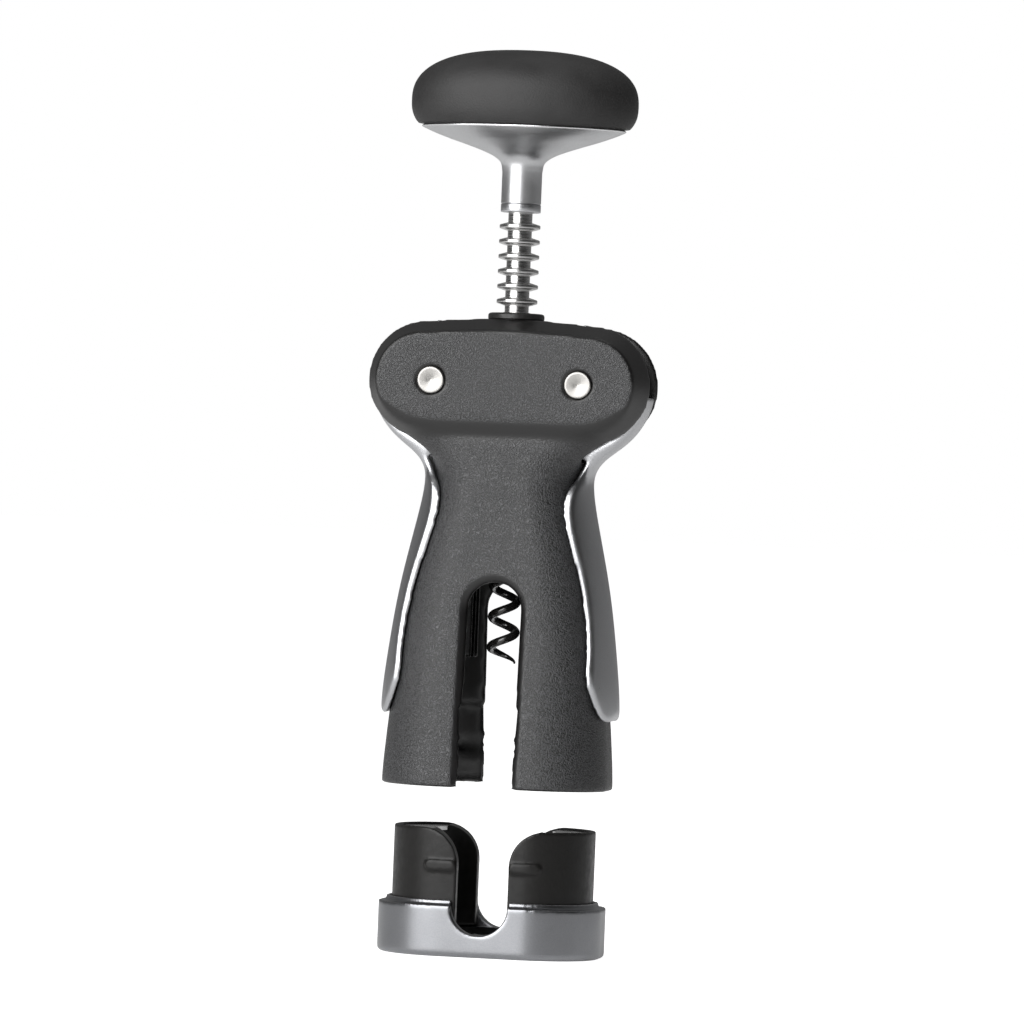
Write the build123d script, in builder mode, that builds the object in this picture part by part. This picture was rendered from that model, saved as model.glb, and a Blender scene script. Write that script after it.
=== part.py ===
"""Wing corkscrew with a lift-off foil cutter.

Millimetres, +Z up. X runs from wing to wing and -Y is the front. The origin is the middle
of the face that the foil cutter stands on, and the body hangs straight above it.
"""
from build123d import *
from math import acos, cos, degrees, pi, radians, sin, tan
import os

os.makedirs("parts", exist_ok=True)

# ---------------------------------------------------------------- driving dimensions
# Foil cutter, taken off the body and held just below it. Here "seat_fit" is the room round
# a part that is pressed or glued in, "fit" the room of one that drops in, and "spare" how
# far a cut runs past the face it opens.
cutter_height = 13.3
cutter_gap = 30.6
arm_reach = 20.0
cutter_half_width = 29.5
cutter_half_depth = 21.8
cutter_corner_flat = 2.8
cutter_floor = 0.8
base_top = 6.0
lip_height = 1.5
lip_wall = 0.9
cutter_foot_radius = 1.2
ring_bore_relief = 0.3
arm_half_width = 26.3
arm_half_depth = 18.1
arm_corner_flat = 1.6
arm_clearance = 0.5
slot_half_width = 6.85
neck_radius = 15.3
arm_bore_relief = 0.6
arm_shoulder = 9.5
notch_radius = 7.5
hinge_gap = 0.3
rib_length = 8.2
rib_height = 2.6
rib_proud = 0.5
rib_rise = 10.2
rib_centre = 11.2
groove_clearance = 0.5

# Foil wheels, each on its own vertical pin, at an angle from the line of the two arms.
wheel_radius = 4.6
wheel_angle = 24.0
wheel_thickness = 0.7
wheel_edge = 0.28
wheel_bite = 1.2
wheel_below_top = 5.0
wheel_slot = 1.1
wheel_clearance = 0.3
wheel_pin_radius = 0.9
wheel_pin_length = 10.0
plate_thickness = 1.0
plate_drop = 0.7
plate_rim = 1.3
plate_inner_x = 14.0

# Body.
body_wall = 3.0
window_half_width = 7.0
window_top = 53.65
window_chamfer = 1.7
window_brow = 0.6
pocket_height = 21.0
guide_bottom = 33.7
guide_ring_bottom = 57.0
guide_ring_top = 68.0
guide_rib_thickness = 1.6
guide_rib_inner = 9.0
guide_bore = 5.9
fit = 0.1
seat_fit = 0.02
spare = 1.0

# Head with its two cheeks.
head_centre_x = 21.8
head_centre_rise = 105.9
head_radius = 15.6
head_crown_rise = 122.6
head_inset = 3.4
cheek_inner = 6.6
cheek_edge = 7.0
cheek_outer = 15.5

# Rack and pinions.
module = 1.25
pinion_teeth = 24
pinion_addendum = 0.9
pinion_dedendum = 1.25
rack_pitch_radius = 4.4
rack_addendum = 0.95
rack_dedendum = 1.25
pressure_angle = 20.0
backlash = 0.16
rack_clearance = 0.35
gear_slot_clearance = 0.4
ring_sink = 0.2
pivot_drop = 0.1
rack_rings = 14
ring_gap_below_neck = 3.1
travel = 32.0

# Pivot pins.
pin_radius = 2.5
running_fit = 0.05
pin_head_radius = 3.55
pin_recess_radius = 3.9
pin_recess_depth = 1.2
pin_head_proud = 0.25
pin_head_edge = 0.35
pin_end_inset = 0.3
washer_radius = 6.0
washer_thickness = 0.5

# Wings.
wing_half_thickness = 6.0
wing_gap = 0.35
wing_tip_rise = 18.1
wing_tip_round = 2.5
wing_slot_radius = 19.7
wing_slot_angles = (-112, 118)
wing_paddle_angles = (-108, -8)
wing_cheek_gap = 0.3
wing_root_end_rise = 86.5
wing_plate_clearance = 18.35

# Half depth of the paddle at each height, from the end of its root down to its tip.
paddle_outline = [
    (9.4, 79.0),
    (12.2, 57.0),
    (13.6, 35.0),
    (13.9, 26.0),
    (11.4, 20.4),
    (0, wing_tip_rise),
]

# Spindle.
shaft_shown = 28.2
ferrule_height = 2.15
ferrule_edge = 0.25
neck_outer_radius = 5.25
bush_proud = 1.7
bush_depth = 4.1
bush_flange_radius = 7.4
bush_radius = 6.6
bush_bore = 5.55
socket_bottom_rise = 78.0
socket_length = 16.0
socket_radius = 5.2
worm_wire_radius = 1.1
worm_coil_radius = 3.2
worm_pitch = 8.0
worm_turns = 6.75
worm_bottom_rise = 34.0
worm_start_angle = 72.5
worm_point_length = 3.5
worm_point_sink = 0.3
socket_shoulder = 1.5
worm_pin_radius = 1.0

# Knob.
neck_length = 11.7
bowl_height = 10.6
grip_height = 20.3
knob_half_width = 30.1
knob_half_depth = 17.5
knob_rim_inset = 2.4
shaft_end_below_seam = 5.6
screw_radius = 1.6
screw_head_radius = 3.6
screw_head_height = 2.2
screw_head_room = 0.2
screw_cross_length = 4.3
screw_cross_width = 0.8
screw_length = 12.0
spigot_half_width = 16.0
spigot_half_depth = 8.0
spigot_height = 6.0

# ---------------------------------------------------------------- worked-out places
body_base = cutter_height + cutter_gap
arm_top = cutter_height + arm_reach
pinion_pitch_radius = module * pinion_teeth / 2
pinion_tip_radius = pinion_pitch_radius + pinion_addendum
pinion_root_radius = pinion_pitch_radius - pinion_dedendum
pivot_x = pinion_pitch_radius + rack_pitch_radius
pivot_z = body_base + head_centre_rise - pivot_drop
rack_pitch = pi * module
rack_tip_radius = rack_pitch_radius + rack_addendum
rack_core_radius = rack_pitch_radius - rack_dedendum
tooth_angle = 360 / pinion_teeth
swing = degrees(travel / pinion_pitch_radius)
gear_slot_radius = pinion_tip_radius + gear_slot_clearance
bush_top = body_base + head_crown_rise + bush_proud
bush_bottom = body_base + head_crown_rise - bush_depth
neck_bottom = body_base + head_crown_rise + shaft_shown
knob_seam = neck_bottom + neck_length + bowl_height
arm_corner = arm_half_depth - arm_corner_flat
cutter_corner = cutter_half_depth - cutter_corner_flat
pocket_half_width = arm_half_width + arm_clearance
pocket_half_depth = arm_half_depth + arm_clearance
pocket_corner = arm_corner + arm_clearance

# Half width, half depth and corner radius of the body at each height above its foot.
body_stations = [
    (0.0, 29.9, 22.2, 19.0),
    (12.0, 29.3, 21.05, 18.0),
    (24.0, 28.2, 19.9, 16.5),
    (37.0, 26.7, 18.65, 14.8),
    (48.5, 25.0, 17.55, 14.2),
    (58.5, 23.1, 16.55, 13.8),
    (70.0, 20.5, 15.4, 13.2),
    (79.5, 18.9, 14.6, 13.0),
    (84.0, 19.9, 14.4, 12.8),
    (88.0, 23.2, 14.0, 12.2),
    (91.0, 27.6, 13.2, 11.2),
    (94.0, 30.2, 11.6, 9.8),
    (98.0, 31.2, 9.5, 8.0),
]
cavity_stations = body_stations[1:8]

# Outermost X of the closed wing, and the radius of its rounded back, at each height.
wing_stations = [
    (6.0, 31.2, 24.0),
    (17.0, 31.4, 24.0),
    (28.4, 30.9, 24.0),
    (37.0, 29.9, 24.0),
    (48.5, 28.3, 22.0),
    (60.0, 26.1, 19.5),
    (71.8, 23.5, 17.4),
    (79.5, 22.3, 16.7),
    (84.4, 23.3, 16.7),
    (88.0, 26.7, 16.9),
    (91.5, 31.0, 17.2),
    (96.0, 34.6, 17.8),
    (99.5, 36.3, 18.1),
    (103.5, 37.3, 18.4),
    (112.0, 37.6, 18.4),
]
wing_tip_x = wing_stations[1][1]


def body_loft(stations, grow):
    """Solid through the body's sections, each grown sideways by the given amount."""
    with BuildPart() as solid:
        for rise, half_width, half_depth, corner in stations:
            with BuildSketch(Plane.XY.offset(body_base + rise)):
                RectangleRounded(2 * (half_width + grow), 2 * (half_depth + grow), corner + grow)
        loft()
    return solid.part


def head_outline(inset):
    """Outline of the head seen from the front, pulled in all round by the inset."""
    radius = head_radius - inset
    centre_z = body_base + head_centre_rise
    crown_z = body_base + head_crown_rise - inset
    with BuildSketch(Plane.XZ) as outline:
        with BuildLine():
            CenterArc((head_centre_x, centre_z), radius, -90, 180)
            ThreePointArc(
                (head_centre_x, centre_z + radius), (0, crown_z), (-head_centre_x, centre_z + radius)
            )
            CenterArc((-head_centre_x, centre_z), radius, 90, 180)
            Line((-head_centre_x, centre_z - radius), (head_centre_x, centre_z - radius))
        make_face()
    return outline.sketch


def pivot_sector(radius, start, end):
    """Face of a pie slice about the right pivot, in the plane of the wings."""
    with BuildSketch(Plane.XZ) as slice_face:
        with BuildLine():
            arc = CenterArc((pivot_x, pivot_z), radius, start, end - start)
            Polyline(arc @ 1, (pivot_x, pivot_z), arc @ 0)
        make_face()
    return slice_face.sketch


def space_half_angle(radius):
    """Half the angle of a tooth space on the pinion, for an involute tooth, in radians."""
    base_radius = pinion_pitch_radius * cos(radians(pressure_angle))
    half_tooth = (rack_pitch / 2 - backlash) / (2 * pinion_pitch_radius)
    roll = acos(min(1.0, base_radius / radius))
    pitch_roll = radians(pressure_angle)
    involute = (tan(roll) - roll) - (tan(pitch_roll) - pitch_roll)
    return pi / pinion_teeth - half_tooth + involute


def cutter_oval(half_width, half_depth, corner):
    """Rounded outline that the foil cutter's pieces and the body's mouth share."""
    return RectangleRounded(2 * half_width, 2 * half_depth, corner)


# ---------------------------------------------------------------- body
body_shell = body_loft(body_stations, 0)
body_cavity = body_loft(cavity_stations, -body_wall)

# Lean of the body's front, from its foot to its waist, which the window's bevel follows.
foot_rise, foot_half_depth = body_stations[0][0], body_stations[0][2]
waist_rise, waist_half_depth = body_stations[7][0], body_stations[7][2]
front_lean = (foot_half_depth - waist_half_depth) / (waist_rise - foot_rise)
front_plane = Plane(
    origin=(0, -foot_half_depth, body_base), x_dir=(1, 0, 0), z_dir=(0, -1, front_lean)
)

# The bevel is a little wider over the window's arch than beside it.
window_arc_rise = window_top - window_half_width
bevel_mouth = window_half_width + window_chamfer + spare

with BuildPart() as window_bevel:
    for depth, half_width, arc_rise in (
        (spare, bevel_mouth, window_arc_rise + window_brow),
        (-window_chamfer, window_half_width, window_arc_rise),
    ):
        with BuildSketch(front_plane.offset(depth)):
            with BuildLine():
                Polyline(
                    (-half_width, arc_rise),
                    (-half_width, -window_half_width),
                    (half_width, -window_half_width),
                    (half_width, arc_rise),
                )
                ThreePointArc(
                    (half_width, arc_rise), (0, arc_rise + half_width), (-half_width, arc_rise)
                )
            make_face()
    loft(ruled=True)

# Grooves that the foil cutter's snap ribs drop into.
with BuildPart() as rib_grooves:
    with Locations((0, 0, body_base + rib_rise)):
        Box(
            2 * (rib_centre + rib_length / 2 + fit),
            2 * foot_half_depth,
            rib_height + 2 * groove_clearance,
        )
    with BuildSketch(Plane.XY.offset(body_base)):
        cutter_oval(
            pocket_half_width + rib_proud, pocket_half_depth + rib_proud, pocket_corner + rib_proud
        )
    extrude(amount=pocket_height, mode=Mode.INTERSECT)

with BuildPart() as housing:
    add(body_shell)
    # Head: a flat middle band and a cheek on each side that slopes in to a flat face.
    with BuildSketch(Plane.XZ):
        add(head_outline(0))
    extrude(amount=cheek_edge, both=True)
    for side in (1, -1):
        with BuildSketch(Plane.XZ.offset(side * cheek_edge)):
            add(head_outline(0))
        with BuildSketch(Plane.XZ.offset(side * cheek_outer)):
            add(head_outline(head_inset))
        loft(ruled=True)
    # Hollow skirt, straight where the foil cutter slides in and tapered above.
    add(body_cavity, mode=Mode.SUBTRACT)
    with BuildSketch(Plane.XY.offset(body_base)):
        cutter_oval(pocket_half_width, pocket_half_depth, pocket_corner)
    extrude(amount=pocket_height, mode=Mode.SUBTRACT)
    with BuildSketch(Plane.XY.offset(body_base)):
        lip_seat = arm_clearance + lip_wall + fit
        cutter_oval(arm_half_width + lip_seat, arm_half_depth + lip_seat, arm_corner + lip_seat)
    extrude(amount=lip_height + fit, mode=Mode.SUBTRACT)
    # Windows, front and rear, with a bevel round their outer edge.
    with BuildSketch(Plane.XZ):
        with Locations((0, body_base + window_arc_rise / 2)):
            Rectangle(2 * window_half_width, window_arc_rise)
        with Locations((0, body_base + window_arc_rise)):
            Circle(window_half_width)
    extrude(amount=foot_half_depth + spare, both=True, mode=Mode.SUBTRACT)
    add(window_bevel.part, mode=Mode.SUBTRACT)
    add(window_bevel.part.mirror(Plane.XZ), mode=Mode.SUBTRACT)
    add(rib_grooves.part, mode=Mode.SUBTRACT)
    # Slot for both wings, and the bore of the rack.
    for mirrored in (False, True):
        with BuildSketch(Plane.XZ):
            with Locations((pivot_x, pivot_z)):
                Circle(gear_slot_radius)
            add(pivot_sector(wing_slot_radius, *wing_slot_angles))
            if mirrored:
                mirror(about=Plane.YZ, mode=Mode.REPLACE)
        extrude(amount=cheek_inner, both=True, mode=Mode.SUBTRACT)
    with BuildSketch(Plane.XY.offset(body_base + waist_rise - spare)):
        Circle(rack_tip_radius + rack_clearance)
    extrude(amount=head_crown_rise - waist_rise + 2 * spare, mode=Mode.SUBTRACT)
    with BuildSketch(Plane.XY.offset(bush_bottom)):
        Circle(bush_radius + seat_fit)
    extrude(amount=bush_top - bush_bottom, mode=Mode.SUBTRACT)
    # Pivot holes with a recess for each pin's head and cap.
    with BuildSketch(Plane.XZ):
        with Locations((pivot_x, pivot_z), (-pivot_x, pivot_z)):
            Circle(pin_radius + seat_fit)
    extrude(amount=cheek_outer + spare, both=True, mode=Mode.SUBTRACT)
    for side in (1, -1):
        with BuildSketch(Plane.XZ.offset(side * cheek_outer)):
            with Locations((pivot_x, pivot_z), (-pivot_x, pivot_z)):
                Circle(pin_recess_radius)
        extrude(amount=-side * pin_recess_depth, mode=Mode.SUBTRACT)
housing.part.label = "housing"
export_step(housing.part, "parts/housing.step")

# ---------------------------------------------------------------- bottle guide
# Glossy insert high in the skirt: a ring that the worm runs through, with ribs below it
# that centre the bottle and stop its lip.
guide_room = body_loft(cavity_stations, -body_wall - fit)

with BuildPart() as guide_blank:
    with BuildSketch(Plane.XY.offset(body_base + guide_ring_bottom)):
        Rectangle(3 * foot_half_depth, 2 * foot_half_depth)
        Circle(guide_bore, mode=Mode.SUBTRACT)
    extrude(amount=guide_ring_top - guide_ring_bottom)
    with BuildSketch(Plane.XY.offset(body_base + guide_bottom)):
        for angle in (-30, 0, 30, 150, 180, 210):
            with Locations(Rotation(0, 0, angle)):
                with Locations((guide_rib_inner + cutter_half_width / 2, 0)):
                    Rectangle(cutter_half_width, guide_rib_thickness)
    extrude(amount=guide_ring_bottom - guide_bottom)

with BuildPart() as bottle_guide:
    add(guide_room)
    add(guide_blank.part, mode=Mode.INTERSECT)
bottle_guide.part.label = "bottle_guide"
export_step(bottle_guide.part, "parts/bottle_guide.step")

# ---------------------------------------------------------------- shaft bush
with BuildPart() as shaft_bush:
    with BuildSketch(Plane.XY.offset(bush_bottom)):
        Circle(bush_radius)
    extrude(amount=bush_top - bush_bottom)
    with BuildSketch(Plane.XY.offset(body_base + head_crown_rise)):
        Circle(bush_flange_radius)
    extrude(amount=bush_proud)
    flange_edge = shaft_bush.edges().filter_by(GeomType.CIRCLE).group_by(Axis.Z)[-1]
    fillet(flange_edge, radius=bush_proud / 2)
    with BuildSketch(Plane.XY.offset(bush_bottom)):
        Circle(bush_bore)
    extrude(amount=bush_top - bush_bottom, mode=Mode.SUBTRACT)
shaft_bush.part.label = "shaft_bush"
export_step(shaft_bush.part, "parts/shaft_bush.step")

# ---------------------------------------------------------------- pivot pins, caps and washers
pin_seat = cheek_outer - pin_recess_depth
pin_face = cheek_outer + pin_head_proud
for name, x in (("left", -pivot_x), ("right", pivot_x)):
    with BuildPart() as pivot_pin:
        with BuildSketch(Plane.XZ.offset(-pin_face + pin_end_inset)):
            with Locations((x, pivot_z)):
                Circle(pin_radius)
        extrude(amount=pin_face - pin_end_inset + pin_seat)
        with BuildSketch(Plane.XZ.offset(pin_seat)):
            with Locations((x, pivot_z)):
                Circle(pin_head_radius)
        extrude(amount=pin_face - pin_seat)
        chamfer(pivot_pin.edges().group_by(Axis.Y)[0], length=pin_head_edge)
    pivot_pin.part.label = name + "_pivot_pin"
    export_step(pivot_pin.part, "parts/" + name + "_pivot_pin.step")

    with BuildPart() as pin_cap:
        with BuildSketch(Plane.XZ.offset(-pin_seat)):
            with Locations((x, pivot_z)):
                Circle(pin_head_radius)
                Circle(pin_radius + seat_fit, mode=Mode.SUBTRACT)
        extrude(amount=-(pin_face - pin_seat))
    pin_cap.part.label = name + "_pin_cap"
    export_step(pin_cap.part, "parts/" + name + "_pin_cap.step")

    washer_inner = cheek_inner - washer_thickness - seat_fit
    with BuildPart() as wing_washers:
        for start in (washer_inner, -washer_inner - washer_thickness):
            with BuildSketch(Plane.XZ.offset(start)):
                with Locations((x, pivot_z)):
                    Circle(washer_radius)
                    Circle(pin_radius + seat_fit, mode=Mode.SUBTRACT)
            extrude(amount=washer_thickness)
    wing_washers.part.label = name + "_wing_washers"
    export_step(wing_washers.part, "parts/" + name + "_wing_washers.step")

# ---------------------------------------------------------------- wings
# Each wing is one casting: a toothed hub in the slot of the head, and a paddle whose
# rounded back wraps the side of the body.
with BuildPart() as wing_envelope:
    for rise, outer_x, back_radius in wing_stations:
        with BuildSketch(Plane.XY.offset(body_base + rise)):
            with Locations((outer_x - back_radius, 0)):
                Circle(back_radius)
    loft()

# Side outline of the wing: a narrow root in the slot that widens to the paddle.
with BuildPart() as wing_side:
    with BuildSketch(Plane.YZ):
        with BuildLine():
            edge = Polyline(
                (wing_half_thickness, body_base + head_centre_rise),
                (wing_half_thickness, body_base + wing_root_end_rise),
            )
            Spline(
                edge @ 1,
                *[(half_depth, body_base + rise) for half_depth, rise in paddle_outline],
                tangents=((0, -1), (-1, 0)),
            )
            mirror(about=Plane.YZ)
            Line(edge @ 0, (-wing_half_thickness, body_base + head_centre_rise))
        make_face()
    extrude(amount=3 * pivot_x)

# What the wing has to stay clear of: the body, except inside the slot.
with BuildPart() as wing_keepout:
    add(body_loft(body_stations, wing_gap))
    with BuildSketch(Plane.XZ):
        add(pivot_sector(wing_slot_radius - wing_gap, *wing_slot_angles))
    extrude(amount=cheek_inner - wing_cheek_gap, both=True, mode=Mode.SUBTRACT)

with BuildPart() as hub:
    with BuildSketch(Plane.XZ) as hub_face:
        add(pivot_sector(pinion_tip_radius, 180 - swing - 1.5 * tooth_angle, 180 + 1.5 * tooth_angle))
        with Locations((pivot_x, pivot_z)):
            Circle(pinion_root_radius)
        # Tooth spaces, cut between involute flanks.
        space_radii = [
            pinion_root_radius,
            pinion_pitch_radius * cos(radians(pressure_angle)) + 0.05,
            pinion_pitch_radius,
            pinion_pitch_radius + pinion_addendum / 2,
            pinion_tip_radius + spare,
        ]
        space_count = int(swing / tooth_angle) + 4
        for number in range(space_count):
            middle = radians(180 + tooth_angle * (1.5 - number))
            flank_up = []
            flank_down = []
            for radius in space_radii:
                half = space_half_angle(radius)
                for flank, angle in ((flank_up, middle - half), (flank_down, middle + half)):
                    flank.append((pivot_x + radius * cos(angle), pivot_z + radius * sin(angle)))
            with BuildLine(mode=Mode.PRIVATE) as space_outline:
                Polyline(*flank_up, *reversed(flank_down), close=True)
            make_face(space_outline.line.edges(), mode=Mode.SUBTRACT)
    extrude(amount=wing_half_thickness, both=True)

with BuildPart() as wing:
    add(wing_envelope.part)
    add(wing_side.part, mode=Mode.INTERSECT)
    with BuildSketch(Plane.XZ):
        add(pivot_sector(2 * head_centre_rise, *wing_paddle_angles))
    extrude(amount=foot_half_depth, both=True, mode=Mode.INTERSECT)
    add(wing_keepout.part, mode=Mode.SUBTRACT)
    # Behind the cheeks only the root stays.
    for side in (1, -1):
        with BuildSketch(Plane.XZ.offset(side * wing_half_thickness)):
            with Locations((pivot_x, pivot_z)):
                Circle(wing_plate_clearance)
        extrude(amount=side * foot_half_depth, mode=Mode.SUBTRACT)
    # Outer corner of the tip, rounded off.
    with BuildSketch(Plane.XZ):
        with Locations((wing_tip_x - wing_tip_round, body_base + wing_tip_rise + wing_tip_round)):
            Rectangle(
                wing_tip_round + spare, wing_tip_round + spare, align=(Align.MIN, Align.MAX)
            )
            Circle(wing_tip_round, mode=Mode.SUBTRACT)
    extrude(amount=foot_half_depth, both=True, mode=Mode.SUBTRACT)
    add(hub.part)
    with BuildSketch(Plane.XZ):
        with Locations((pivot_x, pivot_z)):
            Circle(pin_radius + running_fit)
    extrude(amount=foot_half_depth, both=True, mode=Mode.SUBTRACT)
right_wing = wing.part
right_wing.label = "right_wing"
export_step(right_wing, "parts/right_wing.step")
left_wing = right_wing.mirror(Plane.YZ)
left_wing.label = "left_wing"
export_step(left_wing, "parts/left_wing.step")

# ---------------------------------------------------------------- spindle
# Rack: rings turned on the shaft, so that the wings lift it at any angle of the knob. One
# gap between two rings lies on the line of the pivots when the wings are closed.
socket_bottom = body_base + socket_bottom_rise
socket_top = socket_bottom + socket_length
shaft_top = knob_seam - shaft_end_below_seam
socket_ceiling = socket_top - socket_shoulder
worm_bottom = body_base + worm_bottom_rise
plug_head_bottom = worm_bottom + worm_pitch * worm_turns + worm_wire_radius + fit
worm_pin_z = (plug_head_bottom + socket_ceiling) / 2
gaps_above_pivots = int((neck_bottom - ring_gap_below_neck - pivot_z) / rack_pitch)
first_ring_z = pivot_z + (gaps_above_pivots + 0.5) * rack_pitch
flank_slope = tan(radians(pressure_angle))
ring_half_pitch_width = rack_pitch / 4 - backlash
ring_tip = ring_half_pitch_width - rack_addendum * flank_slope
ring_root = ring_half_pitch_width + rack_dedendum * flank_slope

with BuildPart() as rack_shaft:
    with BuildSketch(Plane.XZ):
        with BuildLine():
            Polyline(
                (0, socket_bottom),
                (socket_radius, socket_bottom),
                (socket_radius, socket_ceiling),
                (rack_core_radius, socket_top),
                (rack_core_radius, shaft_top),
                (0, shaft_top),
                close=True,
            )
        make_face()
        for number in range(rack_rings):
            with BuildLine():
                ring_z = first_ring_z - number * rack_pitch
                Polyline(
                    (rack_core_radius - ring_sink, ring_z - ring_root),
                    (rack_core_radius, ring_z - ring_root),
                    (rack_tip_radius, ring_z - ring_tip),
                    (rack_tip_radius, ring_z + ring_tip),
                    (rack_core_radius, ring_z + ring_root),
                    (rack_core_radius - ring_sink, ring_z + ring_root),
                    close=True,
                )
            make_face()
    revolve(axis=Axis.Z)
    # Socket for the worm, its cross pin, and the hole for the knob's screw.
    with BuildSketch(Plane.XY.offset(socket_bottom)):
        Circle(worm_coil_radius + worm_wire_radius + running_fit)
    extrude(amount=socket_ceiling - socket_bottom, mode=Mode.SUBTRACT)
    with BuildSketch(Plane.XZ):
        with Locations((0, worm_pin_z)):
            Circle(worm_pin_radius + seat_fit)
    extrude(amount=socket_radius, both=True, mode=Mode.SUBTRACT)
    with BuildSketch(Plane.XY.offset(shaft_top)):
        Circle(screw_radius + seat_fit)
    extrude(amount=-screw_length, mode=Mode.SUBTRACT)
rack_shaft.part.label = "rack_shaft"
export_step(rack_shaft.part, "parts/rack_shaft.step")

# Worm: right-hand coil, its top turns in the socket, with a sharp point below.
worm_plane = Plane.XY.offset(worm_bottom).rotated((0, 0, worm_start_angle))
with BuildPart() as worm:
    with BuildLine(worm_plane) as worm_path:
        Helix(pitch=worm_pitch, height=worm_pitch * worm_turns, radius=worm_coil_radius)
    start_plane = Plane(origin=worm_path.line @ 0, z_dir=worm_path.line % 0)
    with BuildSketch(start_plane):
        Circle(worm_wire_radius)
    sweep(path=worm_path.line, is_frenet=True)
    point_plane = Plane(origin=start_plane.origin, z_dir=-start_plane.z_dir).offset(-worm_point_sink)
    with Locations(point_plane.location):
        Cone(
            worm_wire_radius - seat_fit,
            worm_wire_radius / 6,
            worm_point_length,
            align=(Align.CENTER, Align.CENTER, Align.MIN),
        )
worm.part.label = "worm"
export_step(worm.part, "parts/worm.step")

# Plug that holds the top coils in the socket, and the cross pin that holds the plug.
with BuildPart() as worm_plug:
    with BuildSketch(Plane.XY.offset(plug_head_bottom)):
        Circle(worm_coil_radius + worm_wire_radius)
    extrude(amount=socket_ceiling - plug_head_bottom)
    with BuildSketch(Plane.XY.offset(socket_bottom)):
        Circle(worm_coil_radius - worm_wire_radius - fit)
    extrude(amount=plug_head_bottom - socket_bottom)
    with BuildSketch(Plane.XZ):
        with Locations((0, worm_pin_z)):
            Circle(worm_pin_radius + seat_fit)
    extrude(amount=socket_radius, both=True, mode=Mode.SUBTRACT)
worm_plug.part.label = "worm_plug"
export_step(worm_plug.part, "parts/worm_plug.step")

with BuildPart() as worm_pin:
    with BuildSketch(Plane.XZ):
        with Locations((0, worm_pin_z)):
            Circle(worm_pin_radius)
    extrude(amount=socket_radius - pin_end_inset, both=True)
worm_pin.part.label = "worm_pin"
export_step(worm_pin.part, "parts/worm_pin.step")

with BuildPart() as neck_ferrule:
    with BuildSketch(Plane.XY.offset(neck_bottom)):
        Circle(neck_outer_radius)
        Circle(rack_core_radius + running_fit, mode=Mode.SUBTRACT)
    extrude(amount=ferrule_height)
    outer_edges = neck_ferrule.edges().filter_by(GeomType.CIRCLE).sort_by(SortBy.LENGTH)[-2:]
    chamfer(outer_edges, length=ferrule_edge)
neck_ferrule.part.label = "neck_ferrule"
export_step(neck_ferrule.part, "parts/neck_ferrule.step")

# ---------------------------------------------------------------- knob
# Half widths of the cast bowl at each depth below its seam; its own depth closes in from the
# rim's to the neck's.
bowl_stations = [
    (0, knob_half_width - knob_rim_inset),
    (1.2, 25.7),
    (2.8, 22.7),
    (4.3, 18.4),
    (5.9, 13.6),
    (7.4, 9.2),
    (8.9, 6.5),
    (bowl_height, neck_outer_radius),
]
rim_half_width = bowl_stations[0][1]
rim_half_depth = rim_half_width * knob_half_depth / knob_half_width


def bowl_depth(half_width):
    """Half depth of the bowl where its half width is given."""
    share = (half_width - neck_outer_radius) / (rim_half_width - neck_outer_radius)
    return neck_outer_radius + share * (rim_half_depth - neck_outer_radius)


with BuildPart() as knob_core:
    for drop, half_width in bowl_stations:
        with BuildSketch(Plane.XY.offset(knob_seam - drop)):
            Ellipse(half_width, bowl_depth(half_width))
    loft()
    with BuildSketch(Plane.XY.offset(neck_bottom + ferrule_height + running_fit)):
        Circle(neck_outer_radius)
    extrude(amount=neck_length - ferrule_height - running_fit)
    # Oval spigot that the grip is moulded round, with the shaft and its screw in the middle.
    with BuildSketch(Plane.XY.offset(knob_seam)):
        Ellipse(spigot_half_width, spigot_half_depth)
    extrude(amount=spigot_height)
    with BuildSketch(Plane.XY.offset(neck_bottom)):
        Circle(rack_core_radius + seat_fit)
    extrude(amount=shaft_top - neck_bottom, mode=Mode.SUBTRACT)
    with BuildSketch(Plane.XY.offset(shaft_top)):
        Circle(screw_head_radius + screw_head_room)
    extrude(amount=knob_seam + spigot_height - shaft_top, mode=Mode.SUBTRACT)
knob_core.part.label = "knob_core"
export_step(knob_core.part, "parts/knob_core.step")

with BuildPart() as knob_screw:
    with BuildSketch(Plane.XY.offset(shaft_top + seat_fit)):
        Circle(screw_head_radius)
    extrude(amount=screw_head_height)
    with BuildSketch(Plane.XY.offset(shaft_top + seat_fit)):
        Circle(screw_radius)
    extrude(amount=fit - screw_length)
    with BuildSketch(Plane.XY.offset(shaft_top + seat_fit + screw_head_height)):
        Rectangle(screw_cross_length, screw_cross_width)
        Rectangle(screw_cross_width, screw_cross_length)
    extrude(amount=-screw_head_height / 2, mode=Mode.SUBTRACT)
knob_screw.part.label = "knob_screw"
export_step(knob_screw.part, "parts/knob_screw.step")

# Soft grip: how far in from its widest line the side stands, at each height above the seam.
grip_stations = [
    (0, knob_rim_inset),
    (2.0, 0.9),
    (4.3, 0.1),
    (7.3, 0.1),
    (11.4, 1.1),
    (14.6, 3.0),
    (17.2, 6.2),
    (19.1, 10.8),
    (grip_height, 15.8),
]
with BuildPart() as knob_grip:
    for rise, inset in grip_stations:
        with BuildSketch(Plane.XY.offset(knob_seam + rise)):
            half_width = knob_half_width - inset
            Ellipse(half_width, half_width * knob_half_depth / knob_half_width)
    loft()
    with BuildSketch(Plane.XY.offset(knob_seam)):
        Ellipse(spigot_half_width + fit, spigot_half_depth + fit)
    extrude(amount=spigot_height + fit, mode=Mode.SUBTRACT)
knob_grip.part.label = "knob_grip"
export_step(knob_grip.part, "parts/knob_grip.step")

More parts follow.
